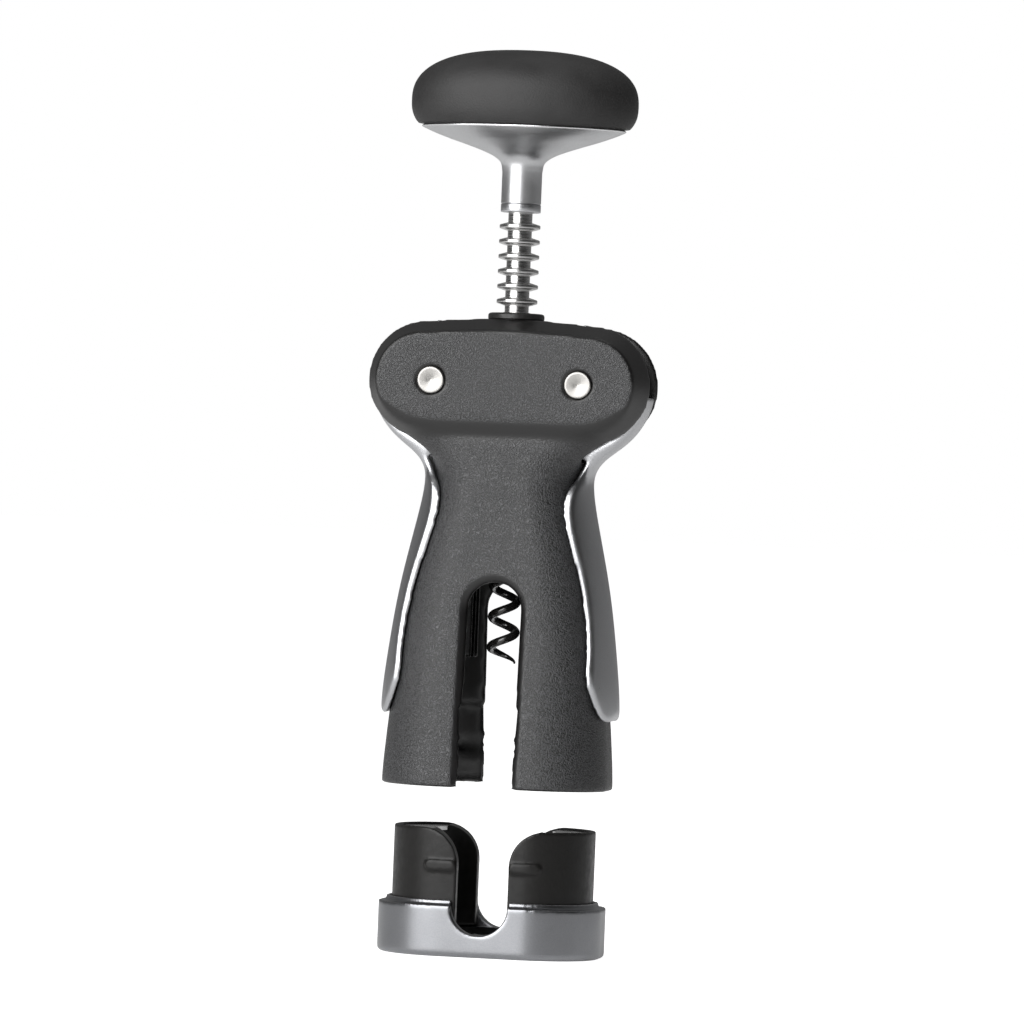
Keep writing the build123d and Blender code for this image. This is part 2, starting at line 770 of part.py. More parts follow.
# ---------------------------------------------------------------- foil cutter
wheel_z = arm_top - wheel_below_top
wheel_distance = neck_radius + wheel_radius - wheel_bite
wheel_x = wheel_distance * cos(radians(wheel_angle))
wheel_y = wheel_distance * sin(radians(wheel_angle))
plate_top = arm_top - plate_drop

with BuildPart() as cutter_ring:
    with BuildSketch():
        cutter_oval(cutter_half_width, cutter_half_depth, cutter_corner)
    extrude(amount=cutter_height)
    fillet(cutter_ring.edges().group_by(Axis.Z)[0], radius=cutter_foot_radius)
    with BuildSketch(Plane.XY.offset(cutter_height)):
        lip_inset = arm_clearance + lip_wall
        cutter_oval(arm_half_width + lip_inset, arm_half_depth + lip_inset, arm_corner + lip_inset)
    extrude(amount=lip_height)
    with BuildSketch(Plane.XY.offset(cutter_floor)):
        cutter_oval(
            arm_half_width + arm_clearance, arm_half_depth + arm_clearance, arm_corner + arm_clearance
        )
    extrude(amount=cutter_height + lip_height, mode=Mode.SUBTRACT)
    with BuildSketch():
        Circle(neck_radius + ring_bore_relief)
    extrude(amount=cutter_floor, mode=Mode.SUBTRACT)
    # Round-bottomed notches, front and rear.
    with BuildSketch(Plane.XZ):
        with Locations((0, cutter_height)):
            Circle(notch_radius)
        with Locations((0, cutter_height + lip_height)):
            Rectangle(2 * notch_radius, 2 * lip_height)
    extrude(amount=cutter_half_depth + spare, both=True, mode=Mode.SUBTRACT)
cutter_ring.part.label = "cutter_ring"
export_step(cutter_ring.part, "parts/cutter_ring.step")

with BuildPart() as cutter_base:
    with BuildSketch(Plane.XY.offset(cutter_floor)):
        cutter_oval(
            arm_half_width + arm_clearance - fit / 2,
            arm_half_depth + arm_clearance - fit / 2,
            arm_corner + arm_clearance - fit / 2,
        )
        Circle(neck_radius, mode=Mode.SUBTRACT)
    extrude(amount=base_top - cutter_floor)
    with BuildSketch(Plane.XZ):
        with Locations((0, cutter_height)):
            Circle(notch_radius)
    extrude(amount=cutter_half_depth, both=True, mode=Mode.SUBTRACT)
cutter_base.part.label = "cutter_base"
export_step(cutter_base.part, "parts/cutter_base.step")

arm_bottom = base_top + hinge_gap
shoulder_x = slot_half_width + arm_shoulder
shoulder_z = arm_top - arm_shoulder

# Snap ribs, front and rear, which stand proud of the arm and follow its outline.
with BuildPart() as snap_ribs:
    with BuildSketch(Plane.XZ):
        with Locations((rib_centre, cutter_height + rib_rise)):
            SlotOverall(rib_length, rib_height)
    extrude(amount=cutter_half_depth, both=True)
    with BuildSketch(Plane.XY.offset(cutter_height)):
        cutter_oval(arm_half_width + rib_proud, arm_half_depth + rib_proud, arm_corner + rib_proud)
    extrude(amount=arm_reach, mode=Mode.INTERSECT)

# One arm: half of an oval tube round the bottle neck, with a round shoulder beside the slot.
with BuildPart() as arm:
    with BuildSketch(Plane.XY.offset(arm_bottom)):
        cutter_oval(arm_half_width, arm_half_depth, arm_corner)
    extrude(amount=arm_top - arm_bottom)
    add(snap_ribs.part)
    with BuildSketch(Plane.XZ):
        with BuildLine():
            Line((slot_half_width, arm_bottom - spare), (slot_half_width, shoulder_z))
            CenterArc((shoulder_x, shoulder_z), arm_shoulder, 90, 90)
            Polyline(
                (shoulder_x, arm_top),
                (shoulder_x, arm_top + spare),
                (cutter_half_width, arm_top + spare),
                (cutter_half_width, arm_bottom - spare),
                (slot_half_width, arm_bottom - spare),
            )
        make_face()
    extrude(amount=cutter_half_depth, both=True, mode=Mode.INTERSECT)
    # Seat of the wheel plate, inside a thin rim.
    with BuildSketch(Plane.XY.offset(plate_top - plate_thickness)):
        cutter_oval(arm_half_width - plate_rim, arm_half_depth - plate_rim, arm_corner - plate_rim)
        Rectangle(2 * plate_inner_x, 4 * arm_half_depth, mode=Mode.SUBTRACT)
        Rectangle(
            2 * arm_half_width,
            4 * arm_half_depth,
            align=(Align.MAX, Align.CENTER),
            mode=Mode.SUBTRACT,
        )
    extrude(amount=plate_drop + plate_thickness, mode=Mode.SUBTRACT)
    with BuildSketch(Plane.XY.offset(arm_bottom)):
        Circle(neck_radius + arm_bore_relief)
    extrude(amount=arm_top, mode=Mode.SUBTRACT)
    # Slots and pin holes of the foil wheels.
    with BuildSketch(Plane.XY.offset(wheel_z - wheel_slot / 2)):
        with Locations((wheel_x, wheel_y), (wheel_x, -wheel_y)):
            Circle(wheel_radius + wheel_clearance)
    extrude(amount=wheel_slot, mode=Mode.SUBTRACT)
    with BuildSketch(Plane.XY.offset(plate_top - wheel_pin_length)):
        with Locations((wheel_x, wheel_y), (wheel_x, -wheel_y)):
            Circle(wheel_pin_radius + seat_fit)
    extrude(amount=wheel_pin_length, mode=Mode.SUBTRACT)

with BuildPart() as wheel_plate:
    with BuildSketch(Plane.XY.offset(plate_top - plate_thickness)):
        cutter_oval(
            arm_half_width - plate_rim - fit, arm_half_depth - plate_rim - fit, arm_corner - plate_rim
        )
        Rectangle(2 * (plate_inner_x + fit), 4 * arm_half_depth, mode=Mode.SUBTRACT)
        Rectangle(
            2 * arm_half_width,
            4 * arm_half_depth,
            align=(Align.MAX, Align.CENTER),
            mode=Mode.SUBTRACT,
        )
        Circle(neck_radius + arm_bore_relief, mode=Mode.SUBTRACT)
        with Locations((wheel_x, wheel_y), (wheel_x, -wheel_y)):
            Circle(wheel_pin_radius + seat_fit, mode=Mode.SUBTRACT)
    extrude(amount=plate_thickness)

# Sharp-edged wheels, one at each corner.
for place, x, y in (
    ("front_left", -wheel_x, -wheel_y),
    ("front_right", wheel_x, -wheel_y),
    ("rear_left", -wheel_x, wheel_y),
    ("rear_right", wheel_x, wheel_y),
):
    with BuildPart() as foil_wheel:
        with BuildSketch(Plane.XY.offset(wheel_z - wheel_thickness / 2)):
            with Locations((x, y)):
                Circle(wheel_radius)
                Circle(wheel_pin_radius + running_fit, mode=Mode.SUBTRACT)
        extrude(amount=wheel_thickness)
        rims = foil_wheel.edges().filter_by(GeomType.CIRCLE).sort_by(SortBy.LENGTH)[-2:]
        chamfer(rims, length=wheel_edge)
    foil_wheel.part.label = place + "_wheel"
    export_step(foil_wheel.part, "parts/" + place + "_wheel.step")

with BuildPart() as wheel_pins:
    with BuildSketch(Plane.XY.offset(plate_top - wheel_pin_length + fit)):
        with Locations((wheel_x, wheel_y), (wheel_x, -wheel_y)):
            Circle(wheel_pin_radius)
    extrude(amount=wheel_pin_length - fit)

for piece, name in (
    (arm, "cutter_arm"),
    (wheel_plate, "wheel_plate"),
    (wheel_pins, "wheel_pins"),
):
    right_piece = piece.part
    right_piece.label = "right_" + name
    export_step(right_piece, "parts/right_" + name + ".step")
    left_piece = right_piece.mirror(Plane.YZ)
    left_piece.label = "left_" + name
    export_step(left_piece, "parts/left_" + name + ".step")
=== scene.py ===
"""The looks of a wing corkscrew with its foil cutter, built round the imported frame."""
from math import cos, pi, radians, sin

import bmesh
import bpy
import numpy as np
from mathutils import Matrix, Vector


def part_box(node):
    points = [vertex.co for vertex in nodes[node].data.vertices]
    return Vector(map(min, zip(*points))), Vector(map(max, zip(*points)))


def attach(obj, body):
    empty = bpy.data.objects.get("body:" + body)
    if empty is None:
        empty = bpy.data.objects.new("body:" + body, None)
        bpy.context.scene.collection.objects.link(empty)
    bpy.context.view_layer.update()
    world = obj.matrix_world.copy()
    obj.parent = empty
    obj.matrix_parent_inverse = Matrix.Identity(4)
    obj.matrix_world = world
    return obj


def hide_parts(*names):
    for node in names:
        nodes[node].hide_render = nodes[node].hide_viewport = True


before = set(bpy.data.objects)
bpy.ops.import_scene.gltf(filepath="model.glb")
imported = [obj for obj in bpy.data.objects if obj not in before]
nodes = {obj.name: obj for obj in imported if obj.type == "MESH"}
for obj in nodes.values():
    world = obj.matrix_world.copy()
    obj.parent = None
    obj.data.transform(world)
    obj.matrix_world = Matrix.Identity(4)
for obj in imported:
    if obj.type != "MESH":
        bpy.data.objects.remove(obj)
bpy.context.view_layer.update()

mm = 0.001

# ---------------------------------------------------------------- camera
# A long lens level with the middle of the object, a little towards its right wing and rolled,
# so that the object leans to the right.
view_distance = 1.80
view_angle = radians(8.54)
view_azimuth = radians(9.5)
view_roll = radians(2.35)
view_height = 116.1 * mm
view_offset = 0.95 * mm
near_limit = 50 * mm
scene = bpy.context.scene


def add_object(name, data):
    """New object in the scene with its data."""
    made = bpy.data.objects.new(name, data)
    scene.collection.objects.link(made)
    return made


across = Vector((cos(view_azimuth), sin(view_azimuth), 0))
towards_camera = Vector((sin(view_azimuth), -cos(view_azimuth), 0))
looked_at = Vector((0, 0, view_height)) + view_offset * across
camera = add_object("camera", bpy.data.cameras.new("camera"))
camera.data.angle = view_angle
camera.data.clip_start = near_limit
camera.location = looked_at + view_distance * towards_camera
level = (looked_at - camera.location).to_track_quat("-Z", "Y").to_matrix()
turned_view = level @ Matrix.Rotation(view_roll, 3, "Z")
camera.matrix_world = Matrix.Translation(camera.location) @ turned_view.to_4x4()
scene.camera = camera

# ---------------------------------------------------------------- studio
# White sweep under and behind the object, a dim room in front of it, and two soft boxes. The
# sweep glows for the camera, and less in reflections, so that it adds no light to the object.
room_front = 0.03
room_back = 0.20
room_turn = (-0.45, 0.85)
backdrop_level = 1.0
floor_colour = (0.8, 0.8, 0.8)
floor_roughness = 0.9
floor_glow = 0.97
floor_shine = 0.30
floor_reach = 30
floor_drop = 0.05 * mm
key_box = {"place": (-1.15, -2.15, 0.95), "size": 2.8, "power": 110}
top_box = {"place": (0.05, 0.15, 1.3), "size": 0.8, "power": 1.5}


def feed(tree, node, inputs):
    """Links each input given, by name or number, to a socket, or sets it to a plain value."""
    for label, value in dict(inputs).items():
        socket = node.inputs[label]
        if isinstance(value, bpy.types.NodeSocket):
            tree.links.new(value, socket)
        else:
            socket.default_value = value


def add_node(tree, kind, inputs=(), **settings):
    """New node with its settings made and its inputs fed."""
    made = tree.nodes.new(kind)
    for label, value in settings.items():
        setattr(made, label, value)
    feed(tree, made, inputs)
    return made


def worked(tree, operation, *values):
    """Maths on values, each a socket or a number."""
    return add_node(tree, "ShaderNodeMath", enumerate(values), operation=operation).outputs[0]


def level_between(tree, factor, low, high, start=0.0, end=1.0, **settings):
    """Number that runs from low to high as the factor goes from start to end."""
    levels = {"Value": factor, "From Min": start, "From Max": end, "To Min": low, "To Max": high}
    return add_node(tree, "ShaderNodeMapRange", levels, **settings).outputs["Result"]


def new_material(name, colour, roughness, metallic=0.0):
    """Material with a plain shader, returned with its tree and the shader."""
    made = bpy.data.materials.new(name)
    made.use_nodes = True
    tree = made.node_tree
    shader = tree.nodes["Principled BSDF"]
    feed(tree, shader, {
        "Base Color": (*colour, 1),
        "Roughness": roughness,
        "Metallic": metallic,
    })
    return made, tree, shader


scene.view_settings.view_transform = "Standard"
world = bpy.data.worlds.new("studio")
scene.world = world
world.use_nodes = True
tree = world.node_tree
tree.nodes.clear()
direction = add_node(tree, "ShaderNodeTexCoord").outputs["Generated"]
split = add_node(tree, "ShaderNodeSeparateXYZ", {0: direction})
room = level_between(
    tree, split.outputs["Y"], room_front, room_back, *room_turn, interpolation_type="SMOOTHSTEP"
)
path = add_node(tree, "ShaderNodeLightPath").outputs
seen = worked(tree, "MAXIMUM", path["Is Camera Ray"], path["Is Transmission Ray"])
strength = add_node(tree, "ShaderNodeMix", {"Factor": seen, "A": room, "B": backdrop_level})
background = add_node(tree, "ShaderNodeBackground", {
    "Color": (1, 1, 1, 1),
    "Strength": strength.outputs["Result"],
})
add_node(tree, "ShaderNodeOutputWorld", {"Surface": background.outputs[0]})

floor_mesh = bpy.data.meshes.new("floor")
floor_corners = [
    (floor_reach * x, floor_reach * y, 0) for x, y in ((-1, -1), (1, -1), (1, 1), (-1, 1))
]
floor_mesh.from_pydata(floor_corners, [], [(0, 1, 2, 3)])
floor = add_object("floor", floor_mesh)
floor.location.z = -floor_drop
white, tree, shader = new_material("white_floor", floor_colour, floor_roughness)
path = add_node(tree, "ShaderNodeLightPath").outputs
glow = worked(tree, "MULTIPLY", path["Is Camera Ray"], floor_glow)
shine = worked(tree, "MULTIPLY", path["Is Glossy Ray"], floor_shine)
lit = add_node(tree, "ShaderNodeEmission", {"Strength": worked(tree, "ADD", glow, shine)})
both = add_node(tree, "ShaderNodeAddShader", {0: shader.outputs[0], 1: lit.outputs[0]})
feed(tree, tree.nodes["Material Output"], {"Surface": both.outputs[0]})
floor_mesh.materials.append(white)

for name, box in (("key_box", key_box), ("top_box", top_box)):
    lamp = add_object(name, bpy.data.lights.new(name, "AREA"))
    lamp.data.shape = "SQUARE"
    lamp.data.size = box["size"]
    lamp.data.energy = box["power"]
    lamp.location = box["place"]
    lamp.rotation_euler = (looked_at - lamp.location).to_track_quat("-Z", "Y").to_euler()

# ---------------------------------------------------------------- body
# The body is one moulding in black plastic: a flared skirt that fits over the bottle, and a
# head with two flat cheeks that the wings turn between. Its outside is spark-eroded to a fine
# grain, which stops short of the polished bevels round the cheeks and the window.
skin_cell = 0.64 * mm
same_point = 0.002 * mm

# Heights above the body's foot, between which a mask rises or falls.
body_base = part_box("housing")[0].z
valley_rise = (78 * mm, 84 * mm)
valley_fall = (95 * mm, 101 * mm)
side_rise = (2 * mm, 4 * mm)
side_fall = (84 * mm, 88 * mm)
foot_fall = (4 * mm, 6 * mm)
skirt_grain_fall = (89 * mm, 93 * mm)
head_grain_rise = (90.5 * mm, 93 * mm)
mouth_height = 26 * mm

# Distances from the middle of the body.
mouth_half_width = 13 * mm
side_edge = (12 * mm, 14 * mm)
flat_front = (9 * mm, 12 * mm)
cheek_front = (14.0 * mm, 15.2 * mm)

# The grain's edge round the window follows its straight sides and the arc above them.
window_arc = 46.65 * mm
window_squash = 0.96
window_edge = (8.6 * mm, 9.0 * mm)

# Slopes, as shares of a normal, past which a face is no longer flat, upright or a foot.
cheek_flat = (0.955, 0.995)
upright_fall = (0.5, 0.8)
foot_slope = -0.5

# Room that the mouth keeps, so that the cutter's lip still enters it.
mouth_room = 0.26 * mm
foot_room = 0.12 * mm

grain_size = 0.42 * mm
grain_depth = 0.10 * mm
grain_contrast = 0.12
pit_black = (0.003, 0.0026, 0.0026)
peak_black = (0.050, 0.051, 0.054)
bevel_roughness = 0.40
grain_roughness = 0.38
body_specular = 0.75

number_socket = "NodeSocketFloat"
vector_socket = "NodeSocketVector"


def merged_copy(node, name):
    """Copy of a CAD node as one joined mesh, ready to be worked on."""
    shape = bmesh.new()
    shape.from_mesh(nodes[node].data)
    bmesh.ops.remove_doubles(shape, verts=shape.verts, dist=same_point)
    mesh = bpy.data.meshes.new(name)
    shape.to_mesh(mesh)
    shape.free()
    return add_object(name, mesh)


def settle(piece):
    """Turns the piece's modifiers into its mesh."""
    graph = bpy.context.evaluated_depsgraph_get()
    mesh = bpy.data.meshes.new_from_object(piece.evaluated_get(graph))
    mesh.name = piece.name
    piece.modifiers.clear()
    piece.data = mesh
    return piece


def even_skin(node, name, cell):
    """New piece that lays an even net of square faces over a CAD node."""
    piece = merged_copy(node, name)
    net = piece.modifiers.new("net", "REMESH")
    net.mode = "VOXEL"
    net.voxel_size = cell
    return settle(piece)


def points_of(mesh):
    """The mesh's points and normals as two tables."""
    place = np.empty(len(mesh.vertices) * 3, np.float32)
    mesh.vertices.foreach_get("co", place)
    normal = np.empty(len(mesh.vertices) * 3, np.float32)
    mesh.vertices.foreach_get("normal", normal)
    return place.reshape(-1, 3), normal.reshape(-1, 3)


def move_points(mesh, place):
    """Puts the mesh's points at new places."""
    mesh.vertices.foreach_set("co", place.astype(np.float32).ravel())
    mesh.update()


def pull_of_neighbours(mesh, place):
    """For each point, the way from it to the middle of its neighbours."""
    ends = np.empty(len(mesh.edges) * 2, np.int32)
    mesh.edges.foreach_get("vertices", ends)
    first, second = ends[0::2], ends[1::2]
    count = len(place)
    links = np.bincount(first, minlength=count) + np.bincount(second, minlength=count)
    pull = np.empty_like(place)
    for axis in range(3):
        column = place[:, axis]
        total = np.bincount(first, column[second], count)
        total += np.bincount(second, column[first], count)
        pull[:, axis] = total / links - column
    return pull


def soften(mesh, passes, where=1.0, strength=0.5):
    """Draws points towards their neighbours, so that edges turn round as in a moulding."""
    place, _ = points_of(mesh)
    share = np.broadcast_to(strength * where, len(place))[:, None]
    for _ in range(passes):
        place = place + share * pull_of_neighbours(mesh, place)
    move_points(mesh, place)
    mesh.shade_smooth()


def ramp(value, low, high):
    """Smooth step from 0 at low to 1 at high."""
    share = np.clip((value - low) / (high - low), 0, 1)
    return share * share * (3 - 2 * share)


def band(value, rise, fall):
    """Smooth step up between the two values of rise, and down again between those of fall."""
    return ramp(value, *rise) * (1 - ramp(value, *fall))


def point_mask(mesh, name, values):
    """Stores one number for each point, for a material to read."""
    mask = mesh.attributes.new(name, "FLOAT", "POINT")
    mask.data.foreach_set("value", np.asarray(values, np.float32))


def tree_with(name, kind, inputs, outputs):
    """Empty node tree with the sockets given, and its inner input and output nodes."""
    made = bpy.data.node_groups.new(name, kind)
    for in_out, sockets in (("INPUT", inputs), ("OUTPUT", outputs)):
        for label, socket_type, *value in sockets:
            socket = made.interface.new_socket(label, in_out=in_out, socket_type=socket_type)
            if value:
                socket.default_value = value[0]
    return made, made.nodes.new("NodeGroupInput"), made.nodes.new("NodeGroupOutput")


def shade_between(tree, factor, low, high, blend="MIX"):
    """Colour that runs from low to high with the factor, each a socket or a plain colour."""
    inputs = {"Factor": factor}
    for label, shade in (("A", low), ("B", high)):
        inputs[label] = (*shade, 1) if isinstance(shade, tuple) else shade
    mix = add_node(tree, "ShaderNodeMix", inputs, data_type="RGBA", blend_type=blend)
    return mix.outputs["Result"]


def bumped(tree, height, distance):
    """Normal raised by a height from 0 to 1."""
    return add_node(tree, "ShaderNodeBump", {"Height": height, "Distance": distance}).outputs[0]


def uneven_group():
    """Uneven finish that shows at one size: a shade from 0 to 1 and a normal, faded by a mask."""
    group, inside, outside = tree_with(
        "uneven_finish",
        "ShaderNodeTree",
        (
            ("Size", number_socket, 1.0 * mm),
            ("Depth", number_socket, 0.02 * mm),
            ("Contrast", number_socket, 0.15),
            ("Mask", number_socket, 1.0),
        ),
        (("Shade", number_socket), ("Normal", vector_socket)),
    )
    read = inside.outputs
    noise = add_node(group, "ShaderNodeTexNoise", {
        "Vector": add_node(group, "ShaderNodeTexCoord").outputs["Object"],
        "Scale": worked(group, "DIVIDE", 1.0, read["Size"]),
        "Detail": 2.0,
        "Roughness": 0.6,
    })
    darkest = worked(group, "SUBTRACT", 0.5, read["Contrast"])
    lightest = worked(group, "ADD", 0.5, read["Contrast"])
    shade = level_between(group, noise.outputs["Fac"], 0.0, 1.0, darkest, lightest)
    faded = worked(group, "MULTIPLY", shade, read["Mask"])
    feed(group, outside, {"Shade": faded, "Normal": bumped(group, faded, read["Depth"])})
    return group


def placed_group(tree, group, values):
    """Places a node group in a material, with its own values and links."""
    return add_node(tree, "ShaderNodeGroup", values, node_tree=group)


def stored_mask(tree, name):
    """The number that each point of the piece carries under a name."""
    return add_node(tree, "ShaderNodeAttribute", attribute_name=name).outputs["Fac"]


def finish_piece(piece, material, body_name, replaced):
    """Gives a piece its one material and its body, and hides the CAD node it stands for."""
    piece.data.materials.clear()
    piece.data.materials.append(material)
    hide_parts(replaced)
    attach(piece, body_name)


body = even_skin("housing", "black_body", skin_cell)
place, normal = points_of(body.data)
height = place[:, 2] - body_base
outward = np.sum(place[:, :2] * normal[:, :2], 1) > 0
valley = band(height, valley_rise, valley_fall) * outward
valley_front = valley * ramp(np.abs(place[:, 1]), *flat_front)
mouth = ~outward & (np.abs(place[:, 0]) < mouth_half_width) & (height < mouth_height)
sides = band(height, side_rise, side_fall) * ramp(np.abs(place[:, 0]), *side_edge) * outward
soften(body.data, 3)
for passes, where in ((10, valley), (60, valley_front), (14, mouth), (10, sides)):
    soften(body.data, passes, where)

place, normal = points_of(body.data)
at_foot = 1 - ramp(place[:, 2] - body_base, *foot_fall)
relief = np.where(normal[:, 2] < foot_slope, foot_room, np.where(outward, 0, mouth_room))
move_points(body.data, place - (at_foot * relief)[:, None] * normal)

place, normal = points_of(body.data)
height = place[:, 2] - body_base
on_head = ramp(height, *head_grain_rise)
cheek = ramp(np.abs(normal[:, 1]), *cheek_flat) * ramp(np.abs(place[:, 1]), *cheek_front)
above_arc = np.maximum(height - window_arc, 0)
from_window = np.hypot(place[:, 0], window_squash * above_arc)
upright = 1 - ramp(np.abs(normal[:, 2]), *upright_fall)
skirt = ramp(from_window, *window_edge) * outward * upright * (1 - ramp(height, *skirt_grain_fall))
point_mask(body.data, "grain", on_head * cheek + (1 - on_head) * skirt)

uneven = uneven_group()
black_body, tree, shader = new_material("grained_black", peak_black, grain_roughness)
mask = stored_mask(tree, "grain")
grain = placed_group(tree, uneven, {
    "Size": grain_size,
    "Depth": grain_depth,
    "Contrast": grain_contrast,
    "Mask": mask,
})
feed(tree, shader, {
    "Base Color": shade_between(tree, grain.outputs["Shade"], pit_black, peak_black),
    "Roughness": level_between(tree, mask, bevel_roughness, grain_roughness),
    "Specular IOR Level": body_specular,
    "Normal": grain.outputs["Normal"],
})
finish_piece(body, black_body, "body", "housing")

# ---------------------------------------------------------------- bottle guide
# Glossy black insert pressed high into the skirt. It is moulded on a polished tool, so that it
# only shows faint flow marks, and its edges carry a painted highlight in a lighter colour.
guide_cell = 0.40 * mm
guide_passes = 2
edge_bend = (0.05, 0.2)
flow_size = 5 * mm
flow_depth = 0.03 * mm
guide_black_and_highlight = ((0.010, 0.010, 0.0105), (0.060, 0.058, 0.056))
guide_roughness = (0.14, 0.26)


def mark_edges(mesh, cell):
    """Stores where the mesh bends outwards most, where materials paint a highlight and polish
    smoother.
    """
    place, normal = points_of(mesh)
    bend = -np.sum(pull_of_neighbours(mesh, place) * normal, 1) / cell
    point_mask(mesh, "edge", ramp(bend, *edge_bend))


def rounded_skin(node, name, cell, passes):
    """Even net over a CAD node with its edges softened, and marked for a material to read."""
    piece = even_skin(node, name, cell)
    soften(piece.data, passes)
    mark_edges(piece.data, cell)
    return piece


def dress(names, material):
    """Gives CAD nodes a material of this file."""
    for name in names:
        mesh = nodes[name].data
        mesh.materials.clear()
        mesh.materials.append(material)
        mesh.polygons.foreach_set("material_index", np.zeros(len(mesh.polygons), np.int32))


def uneven_material(name, size, depth, shades, rough, contrast=0.15, coloured_by=None):
    """Material with an uneven finish, which also colours it unless a stored mask does."""
    made, tree, shader = new_material(name, shades[0], rough[0])
    finish = placed_group(tree, uneven, {"Size": size, "Depth": depth, "Contrast": contrast})
    shade = finish.outputs["Shade"]
    tint = stored_mask(tree, coloured_by) if coloured_by else shade
    feed(tree, shader, {
        "Base Color": shade_between(tree, tint, *shades),
        "Roughness": level_between(tree, shade, *rough),
        "Normal": finish.outputs["Normal"],
    })
    return made, tree, shader


# The stored edge mask paints a lighter highlight on the insert's edges.
gloss_black, _, _ = uneven_material(
    "polished_black", flow_size, flow_depth, guide_black_and_highlight, guide_roughness, coloured_by="edge"
)
guide = rounded_skin("bottle_guide", "guide_insert", guide_cell, guide_passes)
finish_piece(guide, gloss_black, "body", "bottle_guide")
dress(["cutter_base"], gloss_black)

# ---------------------------------------------------------------- shaft bush
# Small black collar pressed into the crown of the head, turned from an acetal bar with a soft
# rounded flange.
bush_low, bush_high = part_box("shaft_bush")
bush_flange = (bush_high.x - bush_low.x) / 2
bush_seat = bush_high.z - 1.7 * mm
bush_bore = 5.55 * mm
bush_stem = 6.6 * mm
seat_chamfer = 0.2 * mm
flange_round = 0.75 * mm
bore_round = 0.5 * mm
turning_size = 0.9 * mm
turning_depth = 0.02 * mm
bush_shades = ((0.013, 0.0125, 0.012), (0.020, 0.0195, 0.019))
bush_roughness = (0.33, 0.47)


def shade_crisp(mesh, angle):
    """Shades a mesh smooth, apart from edges that turn by more than an angle in degrees."""
    mesh.shade_smooth()
    mesh.set_sharp_from_angle(angle=radians(angle))


def turned(name, outline, middle=(0, 0, 0), lying=False, sides=96):
    """Solid of revolution through (radius, height) points, about Z or, lying, towards the front."""
    angles = np.arange(sides) * 2 * pi / sides
    points, rows = [], []
    for radius, rise in outline:
        start = len(points)
        if radius == 0:
            points.append((0, 0, rise))
            rows.append([start] * sides)
            continue
        points.extend((radius * cos(angle), radius * sin(angle), rise) for angle in angles)
        rows.append(list(range(start, start + sides)))
    if outline[0][0] != 0:
        rows.append(rows[0])
    faces = []
    for low_row, high_row in zip(rows, rows[1:]):
        for k in range(sides):
            corners = (low_row[k], low_row[k - 1], high_row[k - 1], high_row[k])
            face = [corner for at, corner in enumerate(corners) if corner != corners[at - 1]]
            if len(face) > 2:
                faces.append(face)
    if lying:
        points = [(x, -z, y) for x, y, z in points]
    points = [(x + middle[0], y + middle[1], z + middle[2]) for x, y, z in points]
    mesh = bpy.data.meshes.new(name)
    mesh.from_pydata(points, [], faces)
    shape = bmesh.new()
    shape.from_mesh(mesh)
    bmesh.ops.recalc_face_normals(shape, faces=shape.faces)
    shape.to_mesh(mesh)
    shape.free()
    shade_crisp(mesh, 32)
    return add_object(name, mesh)


def rounded(corner_radius, corner_rise, size, start, end, steps=5):
    """Points of a round about (radius, rise), from one angle in degrees to another."""
    turns = [radians(start + (end - start) * k / steps) for k in range(steps + 1)]
    return [(corner_radius + size * cos(turn), corner_rise + size * sin(turn)) for turn in turns]


bush = turned("collar", [
    (bush_bore, bush_low.z),
    (bush_stem, bush_low.z),
    (bush_stem, bush_seat),
    (bush_flange - seat_chamfer, bush_seat),
    (bush_flange, bush_seat + seat_chamfer),
    *rounded(bush_flange - flange_round, bush_high.z - flange_round, flange_round, 0, 90),
    *rounded(bush_bore + bore_round, bush_high.z - bore_round, bore_round, 90, 180),
])
satin_black, _, _ = uneven_material(
    "satin_black", turning_size, turning_depth, bush_shades, bush_roughness
)
finish_piece(bush, satin_black, "body", "shaft_bush")

# ---------------------------------------------------------------- pivot pins
# Steel pins with a low turned head, pushed through the head from the front and held at the rear
# by a pressed cap. The lathe leaves fine rings on their faces and a small mark at their centre.
shank_radius = 2.5 * mm
shank_chamfer = 0.3 * mm
face_round = 0.35 * mm
face_rim = 0.75 * mm
face_slope = 0.20 * mm
face_sink = 0.04 * mm
mark_radius = 0.40 * mm
mark_floor = 0.28 * mm
mark_sink = 0.09 * mm
cap_clearance = 0.02 * mm
cap_chamfer = 0.2 * mm
pin_sides = 64
pin_colour = (0.40, 0.39, 0.375)
pin_roughness = 0.34
pin_mark_spacing = 0.22 * mm
pin_mark_depth = 0.006 * mm

# How far the tool's marks swing the colour and the roughness of turned steel.
mark_dulling = 0.82
mark_smoother = 0.06
mark_rougher = 0.08
mark_levels = (0.3, 0.7)


def tool_mark_group():
    """Rings that a lathe leaves, about the Z axis of the place that it is given."""
    group, inside, outside = tree_with(
        "lathe_rings",
        "ShaderNodeTree",
        (
            ("Place", vector_socket),
            ("Spacing", number_socket, 0.2 * mm),
            ("Depth", number_socket, 0.01 * mm),
        ),
        (("Shade", number_socket), ("Normal", vector_socket)),
    )
    read = inside.outputs
    x, y, z = add_node(group, "ShaderNodeSeparateXYZ", {0: read["Place"]}).outputs
    squares = [worked(group, "MULTIPLY", side, side) for side in (x, y)]
    radius = worked(group, "SQRT", worked(group, "ADD", *squares))
    across_and_up = add_node(group, "ShaderNodeCombineXYZ", {
        0: worked(group, "DIVIDE", radius, read["Spacing"]),
        1: worked(group, "DIVIDE", z, read["Spacing"]),
    })
    noise = add_node(group, "ShaderNodeTexNoise", {
        "Vector": across_and_up.outputs[0],
        "Scale": 1.0,
        "Detail": 2.0,
    })
    mark = noise.outputs["Fac"]
    feed(group, outside, {"Shade": mark, "Normal": bumped(group, mark, read["Depth"])})
    return group


